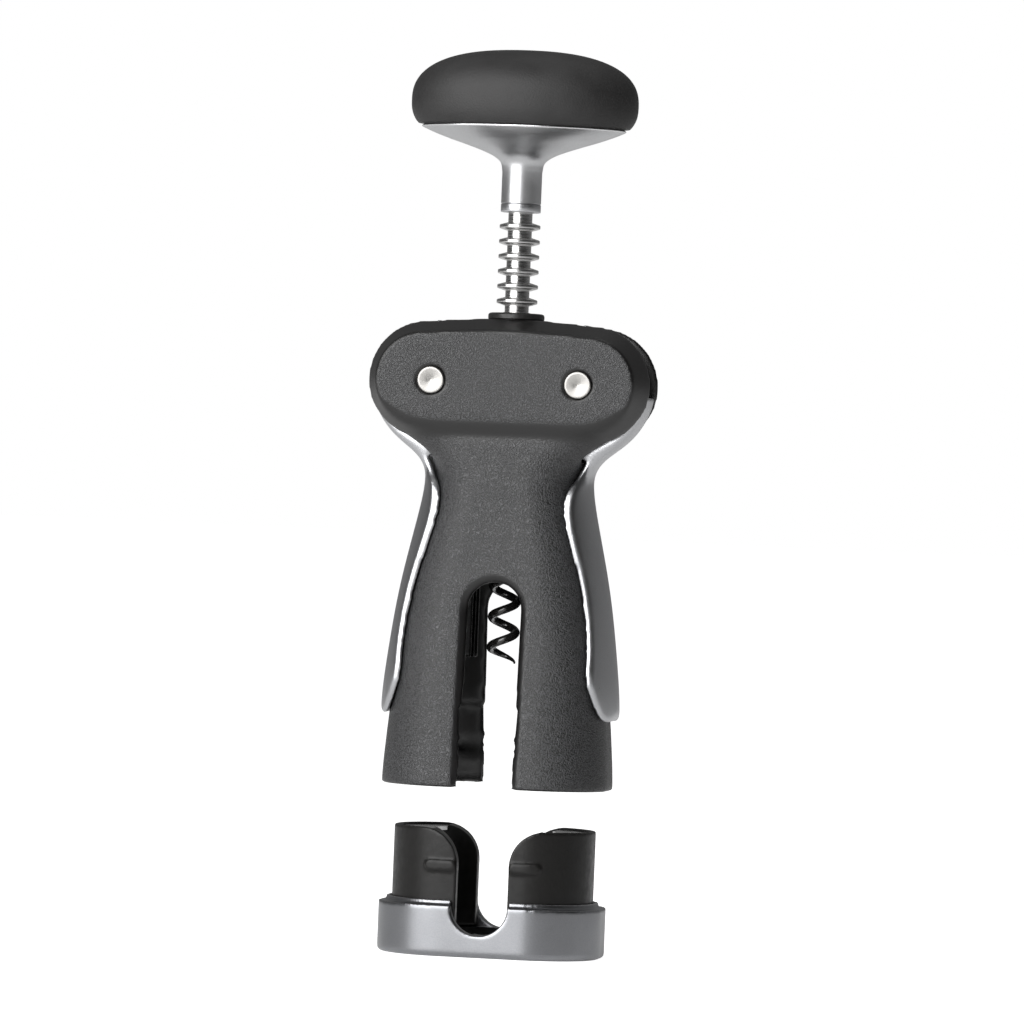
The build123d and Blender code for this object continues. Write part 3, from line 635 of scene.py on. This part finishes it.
def about_axis(tree, middle, lying):
    """Object coordinates moved, and turned if the axis lies, so that it becomes the Z axis."""
    moved = add_node(tree, "ShaderNodeMapping", {
        "Vector": add_node(tree, "ShaderNodeTexCoord").outputs["Object"],
        "Location": middle,
        "Rotation": (radians(90) if lying else 0, 0, 0),
    }, vector_type="TEXTURE")
    return moved.outputs["Vector"]


lathe_rings = tool_mark_group()


def turned_steel(name, colour, roughness, spacing, depth, middle=(0, 0, 0), lying=False):
    """Bright steel with the lathe's rings about an axis."""
    made, tree, shader = new_material(name, colour, roughness, 1.0)
    marks = placed_group(tree, lathe_rings, {
        "Spacing": spacing,
        "Depth": depth,
        "Place": about_axis(tree, middle, lying),
    })
    shade = marks.outputs["Shade"]
    dull = tuple(mark_dulling * channel for channel in colour)
    smooth, rough = roughness - mark_smoother, roughness + mark_rougher
    feed(tree, shader, {
        "Base Color": shade_between(tree, shade, dull, colour),
        "Roughness": level_between(tree, shade, smooth, rough, *mark_levels),
        "Normal": marks.outputs["Normal"],
    })
    return made


for side in ("left", "right"):
    pin_low, pin_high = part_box(side + "_pivot_pin")
    cap_low, cap_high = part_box(side + "_pin_cap")
    pin_middle = (pin_low + pin_high) / 2
    pin_axis = (pin_middle.x, 0, pin_middle.z)
    head_radius = (pin_high.x - pin_low.x) / 2
    head_face = -pin_low.y
    head_seat = head_face - (cap_high.y - cap_low.y)
    pin_outline = [
        (0, -pin_high.y),
        (shank_radius - shank_chamfer, -pin_high.y),
        (shank_radius, -pin_high.y + shank_chamfer),
        (shank_radius, head_seat),
        (head_radius, head_seat),
        *rounded(head_radius - face_round, head_face - face_round, face_round, 0, 90),
        (head_radius - face_rim, head_face),
        (head_radius - face_rim - face_slope, head_face - face_sink),
        (mark_radius, head_face - face_sink),
        (mark_floor, head_face - mark_sink),
        (0, head_face - mark_sink),
    ]
    cap_edge = rounded(head_radius - face_round, cap_high.y - face_round, face_round, 0, 90)
    cap_outline = [
        (shank_radius + cap_clearance, -cap_low.y),
        (head_radius, -cap_low.y),
        *[(radius, -rise) for radius, rise in cap_edge],
        (shank_radius + shank_chamfer, -cap_high.y),
        (shank_radius + cap_clearance, -cap_high.y + cap_chamfer),
    ]
    pin_steel = turned_steel(
        side + "_pin_steel", pin_colour, pin_roughness, pin_mark_spacing, pin_mark_depth,
        pin_axis, lying=True,
    )
    pin = turned(side + "_pin", pin_outline, pin_axis, lying=True, sides=pin_sides)
    finish_piece(pin, pin_steel, "body", side + "_pivot_pin")
    cap = turned(side + "_cap", cap_outline, pin_axis, lying=True, sides=pin_sides)
    finish_piece(cap, pin_steel, "body", side + "_pin_cap")
    dress([side + "_wing_washers"], pin_steel)

# ---------------------------------------------------------------- wings
# Cast zinc levers, tumbled and plated in satin silver. The toothed hub is left crisp, and the
# paddle's edges are rounded for the hand.
wing_cell = 0.35 * mm
tooth_passes = 2
tooth_strength = 0.4
paddle_passes = 26
root_passes = 50

# Distances from the pivot, and from the wing's middle plane.
paddle_rise = (17.2 * mm, 22.2 * mm)
root_middle = 21.5 * mm
root_fall = (2.5 * mm, 5 * mm)
root_edge = (5 * mm, 6 * mm)

cloud_size = 9 * mm
cloud_contrast = 0.25
cloud_dulling = 0.93
cloud_swing = 0.03
sparkle_size = 0.30 * mm
sparkle_depth = 0.008 * mm
sparkle_contrast = 0.2
sparkle_dark = (0.90, 0.90, 0.90)
worn_polish = 0.08
wing_colour = (0.56, 0.565, 0.58)
wing_edge_highlight = (0.64, 0.64, 0.65)
wing_roughness = 0.30


def satin_metal(name, colour, roughness, edge_highlight):
    """Satin plating with cloudy patches, fine sparkle, a painted highlight on its edges, and edges
    polished smoother by wear.
    """
    made, tree, shader = new_material(name, colour, roughness, 1.0)
    cloud = placed_group(tree, uneven, {"Size": cloud_size, "Contrast": cloud_contrast})
    sparkle = placed_group(tree, uneven, {
        "Size": sparkle_size,
        "Depth": sparkle_depth,
        "Contrast": sparkle_contrast,
    })
    edge = stored_mask(tree, "edge")
    dull = tuple(cloud_dulling * channel for channel in colour)
    patches = shade_between(tree, cloud.outputs["Shade"], dull, colour)
    sparks = shade_between(tree, sparkle.outputs["Shade"], sparkle_dark, (1, 1, 1))
    plating = shade_between(tree, 1.0, patches, sparks, "MULTIPLY")
    rough, smooth = roughness + cloud_swing, roughness - cloud_swing
    clouded = level_between(tree, cloud.outputs["Shade"], rough, smooth)
    polish = worked(tree, "MULTIPLY", edge, worn_polish)
    feed(tree, shader, {
        "Base Color": shade_between(tree, edge, plating, edge_highlight),
        "Roughness": worked(tree, "SUBTRACT", clouded, polish),
        "Normal": sparkle.outputs["Normal"],
    })
    return made


# The wings' edges are painted lighter as a highlight along their rounds.
silver = satin_metal("satin_silver", wing_colour, wing_roughness, wing_edge_highlight)
for side in ("left", "right"):
    wing = even_skin(side + "_wing", side + "_lever", wing_cell)
    place, _ = points_of(wing.data)
    pivot = sum(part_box(side + "_pivot_pin"), Vector()) / 2
    from_pivot = np.hypot(place[:, 0] - pivot.x, place[:, 2] - pivot.z)
    at_root = 1 - ramp(np.abs(from_pivot - root_middle), *root_fall)
    at_root *= ramp(np.abs(place[:, 1]), *root_edge)
    soften(wing.data, tooth_passes, strength=tooth_strength)
    soften(wing.data, paddle_passes, ramp(from_pivot, *paddle_rise))
    soften(wing.data, root_passes, at_root)
    mark_edges(wing.data, wing_cell)
    finish_piece(wing, silver, side + "_wing", side + "_wing")

# ---------------------------------------------------------------- rack shaft
# Bright steel shaft that the wings lift. Rings turned all the way round it act as a rack at
# any angle of the knob, and its foot is a wider socket for the worm.
shaft_low, shaft_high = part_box("rack_shaft")
core_radius = 3.15 * mm
rack_module = 1.25 * mm
ring_radius = 5.35 * mm
ring_spacing = pi * rack_module
ring_root = 1.277 * mm
ring_tip = 0.476 * mm
ring_edge_round = 0.28 * mm
ring_sink = 0.5 * mm
ring_count = 14
rings_above_pivot = 10.5
first_ring = pivot.z + rings_above_pivot * ring_spacing
socket_radius = 5.2 * mm
socket_bore = 4.35 * mm
socket_ceiling = shaft_low.z + 14.5 * mm
socket_top = shaft_low.z + 16.0 * mm
socket_chamfer = 0.2 * mm
neck_step = 0.1 * mm
shaft_chamfer = 0.3 * mm


def growth_tree(name, sizes):
    """Empty Geometry Nodes tree with named sizes and a material, and its two end nodes."""
    inputs = (
        ("Geometry", "NodeSocketGeometry"),
        *((label, number_socket) for label in sizes),
        ("Count", "NodeSocketInt"),
        ("Material", "NodeSocketMaterial"),
    )
    return tree_with(name, "GeometryNodeTree", inputs, (("Geometry", "NodeSocketGeometry"),))


def end_tree(made, inside, outside, geometry):
    """Ends a tree in real faces with the material that it is given."""
    real = add_node(made, "GeometryNodeRealizeInstances", {0: geometry})
    coat = add_node(made, "GeometryNodeSetMaterial", {
        "Geometry": real.outputs[0],
        "Material": inside.outputs["Material"],
    })
    feed(made, outside, {0: coat.outputs[0]})
    return made


def grown(piece, tree, values, sharp=32):
    """Runs a tree on the piece with its named inputs and keeps the mesh that comes out."""
    growth = piece.modifiers.new("growth", "NODES")
    growth.node_group = tree
    names = {
        item.name: item.identifier
        for item in tree.interface.items_tree
        if item.item_type == "SOCKET" and item.in_out == "INPUT"
    }
    for label, value in values.items():
        growth[names[label]] = value
    settle(piece)
    shade_crisp(piece.data, sharp)
    return piece


def ring_tree():
    """Closed rings with sloping flanks, one below another round the Z axis."""
    made, inside, outside = growth_tree("turned_rings", (
        "Core Radius",
        "Ring Radius",
        "Root Half Width",
        "Tip Half Width",
        "Edge Round",
        "Spacing",
        "First Height",
    ))
    read = inside.outputs
    reach = worked(made, "SUBTRACT", read["Ring Radius"], read["Core Radius"])
    sunk = -ring_sink
    corners = (
        (sunk, "Root Half Width", -1),
        (reach, "Tip Half Width", -1),
        (reach, "Tip Half Width", 1),
        (sunk, "Root Half Width", 1),
    )
    section = add_node(made, "GeometryNodeCurvePrimitiveQuadrilateral", mode="POINTS")
    for at, (out, width, side) in enumerate(corners, 1):
        half_width = worked(made, "MULTIPLY", read[width], side)
        corner = add_node(made, "ShaderNodeCombineXYZ", {0: out, 1: half_width})
        feed(made, section, {"Point " + str(at): corner.outputs[0]})
    fillet = add_node(made, "GeometryNodeFilletCurve", {
        "Curve": section.outputs[0],
        "Radius": read["Edge Round"],
        "Count": 3,
        "Limit Radius": True,
    }, mode="POLY")
    circle = add_node(made, "GeometryNodeCurvePrimitiveCircle", {
        "Resolution": 96,
        "Radius": read["Core Radius"],
    })
    ring = add_node(made, "GeometryNodeCurveToMesh", {
        "Curve": circle.outputs[0],
        "Profile Curve": fillet.outputs[0],
    })
    start = add_node(made, "ShaderNodeCombineXYZ", {2: read["First Height"]})
    step = add_node(made, "ShaderNodeCombineXYZ", {
        2: worked(made, "MULTIPLY", read["Spacing"], -1),
    })
    line = add_node(made, "GeometryNodeMeshLine", {
        "Count": read["Count"],
        "Start Location": start.outputs[0],
        "Offset": step.outputs[0],
    })
    rings = add_node(made, "GeometryNodeInstanceOnPoints", {
        "Points": line.outputs[0],
        "Instance": ring.outputs[0],
    })
    joined = add_node(made, "GeometryNodeJoinGeometry", {0: read["Geometry"]})
    feed(made, joined, {0: rings.outputs[0]})
    return end_tree(made, inside, outside, joined.outputs[0])


shaft_steel = turned_steel(
    "shaft_steel", (0.64, 0.635, 0.63), roughness=0.24, spacing=0.30 * mm, depth=0.012 * mm
)
shaft = turned("ringed_shaft", [
    (0, socket_ceiling),
    (socket_bore, socket_ceiling),
    (socket_bore, shaft_low.z + socket_chamfer),
    (socket_bore + socket_chamfer, shaft_low.z),
    (socket_radius - socket_chamfer, shaft_low.z),
    (socket_radius, shaft_low.z + socket_chamfer),
    (socket_radius, socket_ceiling),
    (core_radius + neck_step, socket_top),
    (core_radius, socket_top + socket_chamfer),
    (core_radius, shaft_high.z - shaft_chamfer),
    (core_radius - shaft_chamfer, shaft_high.z),
    (0, shaft_high.z),
])
grown(shaft, ring_tree(), {
    "Core Radius": core_radius,
    "Ring Radius": ring_radius,
    "Root Half Width": ring_root,
    "Tip Half Width": ring_tip,
    "Edge Round": ring_edge_round,
    "Spacing": ring_spacing,
    "First Height": first_ring,
    "Count": ring_count,
    "Material": shaft_steel,
})
finish_piece(shaft, shaft_steel, "spindle", "rack_shaft")
dress(["worm_plug", "worm_pin", "knob_screw"], shaft_steel)

# ---------------------------------------------------------------- worm
# Right-hand coil of steel wire, ground to a point and dipped in a glossy black non-stick coat.
# Its top coils are held in the shaft's socket by a plug and a cross pin.
worm_low, worm_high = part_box("worm")
wire_radius = 1.1 * mm
wire_sides = 22
coil_radius = (worm_high.x - worm_low.x) / 2 - wire_radius
coil_steps = 56
worm_pitch = 8.0 * mm
point_turns = 0.17
worm_turns = 6.75 + point_turns
worm_foot = body_base + 34.0 * mm - point_turns * worm_pitch
worm_angle = 72.5 - 360 * point_turns
point_length = 9.5 * mm
point_share = 0.26
peel_size = 1.1 * mm
peel_depth = 0.03 * mm
coat_shades = ((0.010, 0.0095, 0.009), (0.018, 0.017, 0.016))
coat_roughness = (0.13, 0.22)
gloss_weight = 0.8
gloss_roughness = 0.06


def coil_tree():
    """Round wire coiled about the Z axis, right-handed, drawn to a point at its foot."""
    made, inside, outside = growth_tree("pointed_coil", (
        "Coil Radius",
        "Wire Radius",
        "Height",
        "Turns",
        "Point Length",
        "Point Share",
        "Foot",
        "Foot Angle",
    ))
    read = inside.outputs
    coil = add_node(made, "GeometryNodeCurveSpiral", {
        "Resolution": read["Count"],
        "Reverse": True,
        "Start Radius": read["Coil Radius"],
        "End Radius": read["Coil Radius"],
        "Rotations": read["Turns"],
        "Height": read["Height"],
    })
    section = add_node(made, "GeometryNodeCurvePrimitiveCircle", {
        "Resolution": wire_sides,
        "Radius": read["Wire Radius"],
    })
    along = add_node(made, "GeometryNodeSplineParameter").outputs["Length"]
    wire = add_node(made, "GeometryNodeCurveToMesh", {
        "Fill Caps": True,
        "Curve": coil.outputs[0],
        "Profile Curve": section.outputs[0],
        "Scale": level_between(made, along, read["Point Share"], 1.0, 0.0, read["Point Length"]),
    })
    lift = add_node(made, "ShaderNodeCombineXYZ", {2: read["Foot"]})
    turn = add_node(made, "ShaderNodeCombineXYZ", {2: read["Foot Angle"]})
    stood = add_node(made, "GeometryNodeTransform", {
        "Geometry": wire.outputs[0],
        "Translation": lift.outputs[0],
        "Rotation": turn.outputs[0],
    })
    return end_tree(made, inside, outside, stood.outputs[0])


coat_black, tree, shader = uneven_material(
    "non_stick_coat", peel_size, peel_depth, coat_shades, coat_roughness
)
feed(tree, shader, {"Coat Weight": gloss_weight, "Coat Roughness": gloss_roughness})
worm = add_object("coil", bpy.data.meshes.new("coil"))
grown(worm, coil_tree(), {
    "Coil Radius": coil_radius,
    "Wire Radius": wire_radius,
    "Height": worm_pitch * worm_turns,
    "Turns": worm_turns,
    "Point Length": point_length,
    "Point Share": point_share,
    "Foot": worm_foot,
    "Foot Angle": radians(worm_angle),
    "Count": coil_steps,
    "Material": coat_black,
}, sharp=50)
finish_piece(worm, coat_black, "spindle", "worm")

# ---------------------------------------------------------------- knob
# Cast bowl and neck in satin silver with a turned ring under the neck, and a soft black grip
# moulded over the top. A screw down through the middle holds it on the shaft.
ferrule_low, ferrule_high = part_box("neck_ferrule")
knob_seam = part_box("knob_grip")[0].z
knob_sides = 144
neck_radius = (ferrule_high.x - ferrule_low.x) / 2
neck_foot = ferrule_high.z + 0.06 * mm
neck_height = 4 * mm
neck_chamfer = 0.15 * mm
neck_wall = 0.9 * mm
ferrule_edge = 0.22 * mm
ferrule_bore = core_radius + 0.06 * mm
knob_colour = (0.62, 0.625, 0.635)
knob_rim_highlight = (0.80, 0.80, 0.81)
knob_roughness = 0.31
painted_rim_highlight = (-0.8 * mm, -0.3 * mm)

# Drop below the seam and half width of the bowl, in millimetres, down to the neck.
bowl_line = [
    (0.0, 26.6),
    (0.12, 26.95),
    (0.45, 27.0),
    (0.9, 26.1),
    (2.0, 23.5),
    (3.4, 19.6),
    (4.8, 15.2),
    (6.0, 11.7),
    (7.1, 8.9),
    (8.3, 6.8),
    (9.6, 5.65),
    (11.8, 5.25),
]

grip_half_width = 30.05 * mm
grip_half_depth = 17.3 * mm
grip_widest = 6.2 * mm
grip_rise = 20.25 * mm
grip_under = 12.2 * mm
grip_power = 2.5
grip_squareness = 2.08
plain_oval = 2.0
grip_floor = 0.02 * mm
floor_share = 0.3
grip_lip = 0.4 * mm
lower_turns = np.linspace(-30.4, 0, 10)
upper_turns = np.linspace(0, 88, 36)[1:]
bloom_size = 14 * mm
fine_size = 0.5 * mm
fine_depth = 0.03 * mm
grip_shades = ((0.014, 0.0135, 0.0135), (0.027, 0.0265, 0.0265))
grip_roughness = (0.50, 0.62)


def through(points, steps):
    """Points along a smooth line through the ones given."""
    line = np.array(points, float)
    line = np.vstack((2 * line[0] - line[1], line, 2 * line[-1] - line[-2]))
    share = np.linspace(0, 1, steps, endpoint=False)[:, None]
    runs = [
        0.5 * (2 * b + (c - a) * share + (2 * a - 5 * b + 4 * c - d) * share**2
               + (3 * b - a - 3 * c + d) * share**3)
        for a, b, c, d in zip(line, line[1:], line[2:], line[3:])
    ]
    return np.vstack((*runs, line[-2:-1]))


def oval_solid(name, rings, sides):
    """Closed solid through oval rings of (height, half width, half depth, roundness)."""
    angles = np.arange(sides) * 2 * pi / sides
    points = [(0, 0, rings[0][0])]
    for rise, half_width, half_depth, power in rings:
        across_share = np.sign(np.cos(angles)) * np.abs(np.cos(angles)) ** (2 / power)
        deep_share = np.sign(np.sin(angles)) * np.abs(np.sin(angles)) ** (2 / power)
        points.extend(zip(half_width * across_share, half_depth * deep_share, [rise] * sides))
    points.append((0, 0, rings[-1][0]))
    last = len(points) - 1
    faces = []
    for k in range(sides):
        after = (k + 1) % sides
        faces.append((0, 1 + after, 1 + k))
        for row in range(len(rings) - 1):
            low, high = 1 + row * sides, 1 + (row + 1) * sides
            faces.append((low + k, low + after, high + after, high + k))
        faces.append((last, last - sides + k, last - sides + after))
    mesh = bpy.data.meshes.new(name)
    mesh.from_pydata([tuple(map(float, point)) for point in points], [], faces)
    shade_crisp(mesh, 40)
    return add_object(name, mesh)


def bowl_ring(drop, half_width):
    """Ring of the bowl, an oval at the rim that turns into the round neck."""
    rim = max(width for _, width in bowl_line)
    neck = min(width for _, width in bowl_line)
    share = (half_width - neck) / (rim - neck)
    half_depth = neck + share * (rim * grip_half_depth / grip_half_width - neck)
    return knob_seam - drop * mm, half_width * mm, half_depth * mm, plain_oval


bowl_rings = [bowl_ring(drop, half_width) for drop, half_width in through(bowl_line, 6)][::-1]
neck_rings = [
    (neck_foot + rise, neck_radius - inset, neck_radius - inset, plain_oval)
    for rise, inset in ((0, neck_wall), (0, neck_chamfer), (neck_chamfer, 0), (neck_height, 0))
]
bowl = oval_solid("bowl_and_neck", neck_rings + bowl_rings, knob_sides)
bowl_place, _ = points_of(bowl.data)
# A painted highlight: a lighter band round the bowl just below the seam, where its rim turns.
point_mask(bowl.data, "edge", ramp(bowl_place[:, 2] - knob_seam, *painted_rim_highlight))
knob_silver = satin_metal("knob_silver", knob_colour, knob_roughness, knob_rim_highlight)
finish_piece(bowl, knob_silver, "spindle", "knob_core")

ferrule_corner = neck_radius - ferrule_edge
ferrule = turned("neck_ring", [
    (ferrule_bore, ferrule_low.z),
    *rounded(ferrule_corner, ferrule_low.z + ferrule_edge, ferrule_edge, -90, 0, 3),
    *rounded(ferrule_corner, ferrule_high.z - ferrule_edge, ferrule_edge, 0, 90, 3),
    (ferrule_bore, ferrule_high.z),
])
ferrule_silver = turned_steel(
    "ferrule_silver", (0.60, 0.605, 0.62), roughness=0.30, spacing=0.25 * mm, depth=0.01 * mm
)
finish_piece(ferrule, ferrule_silver, "carrier", "neck_ferrule")

floor_half_width, floor_half_depth = floor_share * grip_half_width, floor_share * grip_half_depth
grip_rings = [(knob_seam + grip_floor, floor_half_width, floor_half_depth, plain_oval)]
for turn in np.radians(np.concatenate((lower_turns, upper_turns))):
    reach = grip_under if turn < 0 else grip_rise - grip_widest
    rise = grip_widest + reach * np.sign(turn) * abs(sin(turn)) ** (2 / grip_power)
    share = cos(turn) ** (2 / grip_power)
    grip_rings.append((
        knob_seam + max(rise, grip_lip),
        share * grip_half_width,
        share * grip_half_depth,
        grip_squareness,
    ))
lip_height, lip_width, lip_depth, _ = grip_rings[1]
grip_rings[1:1] = [
    (
        lip_height + grip_lip * sin(turn),
        lip_width - grip_lip * (1 - cos(turn)),
        lip_depth - grip_lip * (1 - cos(turn)),
        grip_squareness,
    )
    for turn in np.radians((-90, -60, -30))
]
grip = oval_solid("soft_grip", grip_rings, knob_sides)
soft_black, tree, shader = uneven_material(
    "soft_touch_rubber", bloom_size, 0.0, grip_shades, grip_roughness, contrast=0.2
)
fine = placed_group(tree, uneven, {"Size": fine_size, "Depth": fine_depth, "Contrast": 0.2})
feed(tree, shader, {"Normal": fine.outputs["Normal"]})
finish_piece(grip, soft_black, "spindle", "knob_grip")

# ---------------------------------------------------------------- foil cutter's ring
# Oval ring drawn in aluminium, brushed round its side and satin anodised, with a bright turned
# lip that plugs the body's mouth.
ring_cell = 0.38 * mm
ring_passes = 4
ring_colour = (0.31, 0.315, 0.33)
ring_edge_highlight = (0.66, 0.66, 0.67)
ring_roughness = 0.31

ring_piece = rounded_skin("cutter_ring", "oval_ring", ring_cell, ring_passes)
# Its edges are painted lighter as a highlight.
ring_silver = satin_metal("ring_silver", ring_colour, ring_roughness, ring_edge_highlight)
finish_piece(ring_piece, ring_silver, "cutter", "cutter_ring")

# ---------------------------------------------------------------- foil cutter's arms
# Two moulded arms in satin black that spring in round the bottle's neck. Each holds a steel
# plate let into its top, and two thin foil wheels on pins.
arm_cell = 0.34 * mm
arm_passes = 2
drag_size = 2.2 * mm
drag_depth = 0.02 * mm
arm_black_and_highlight = ((0.009, 0.0085, 0.008), (0.028, 0.027, 0.026))
arm_roughness = (0.30, 0.44)
arm_specular = 0.32
cutter_steel = (0.72, 0.72, 0.72)
wheel_bore = 0.95 * mm
wheel_edge = 0.05 * mm
wheel_bevel = 0.9 * mm
wheel_sides = 64

# The stored edge mask paints a lighter highlight on the arms' rims and edges.
arm_black, tree, shader = uneven_material(
    "arm_black", drag_size, drag_depth, arm_black_and_highlight, arm_roughness, contrast=0.2, coloured_by="edge"
)
feed(tree, shader, {"Specular IOR Level": arm_specular})
plate_steel = turned_steel(
    "plate_steel", cutter_steel, roughness=0.22, spacing=0.4 * mm, depth=0.01 * mm
)
for side in ("left", "right"):
    arm = rounded_skin(side + "_cutter_arm", side + "_jaw", arm_cell, arm_passes)
    finish_piece(arm, arm_black, side + "_arm", side + "_cutter_arm")
    dress([side + "_wheel_plate", side + "_wheel_pins"], plate_steel)

for corner in ("front_left", "front_right", "rear_left", "rear_right"):
    low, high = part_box(corner + "_wheel")
    middle = (low + high) / 2
    wheel_radius = (high.x - low.x) / 2
    half_thick = (high.z - low.z) / 2
    wheel_outline = [
        (wheel_bore, -half_thick),
        (wheel_radius - wheel_bevel, -half_thick),
        (wheel_radius, -wheel_edge),
        (wheel_radius, wheel_edge),
        (wheel_radius - wheel_bevel, half_thick),
        (wheel_bore, half_thick),
    ]
    disc = turned(corner + "_disc", wheel_outline, middle, sides=wheel_sides)
    disc_steel = turned_steel(
        corner + "_steel", cutter_steel, roughness=0.20, spacing=0.2 * mm, depth=0.01 * mm,
        middle=(middle.x, middle.y, 0),
    )
    finish_piece(disc, disc_steel, corner + "_roller", corner + "_wheel")
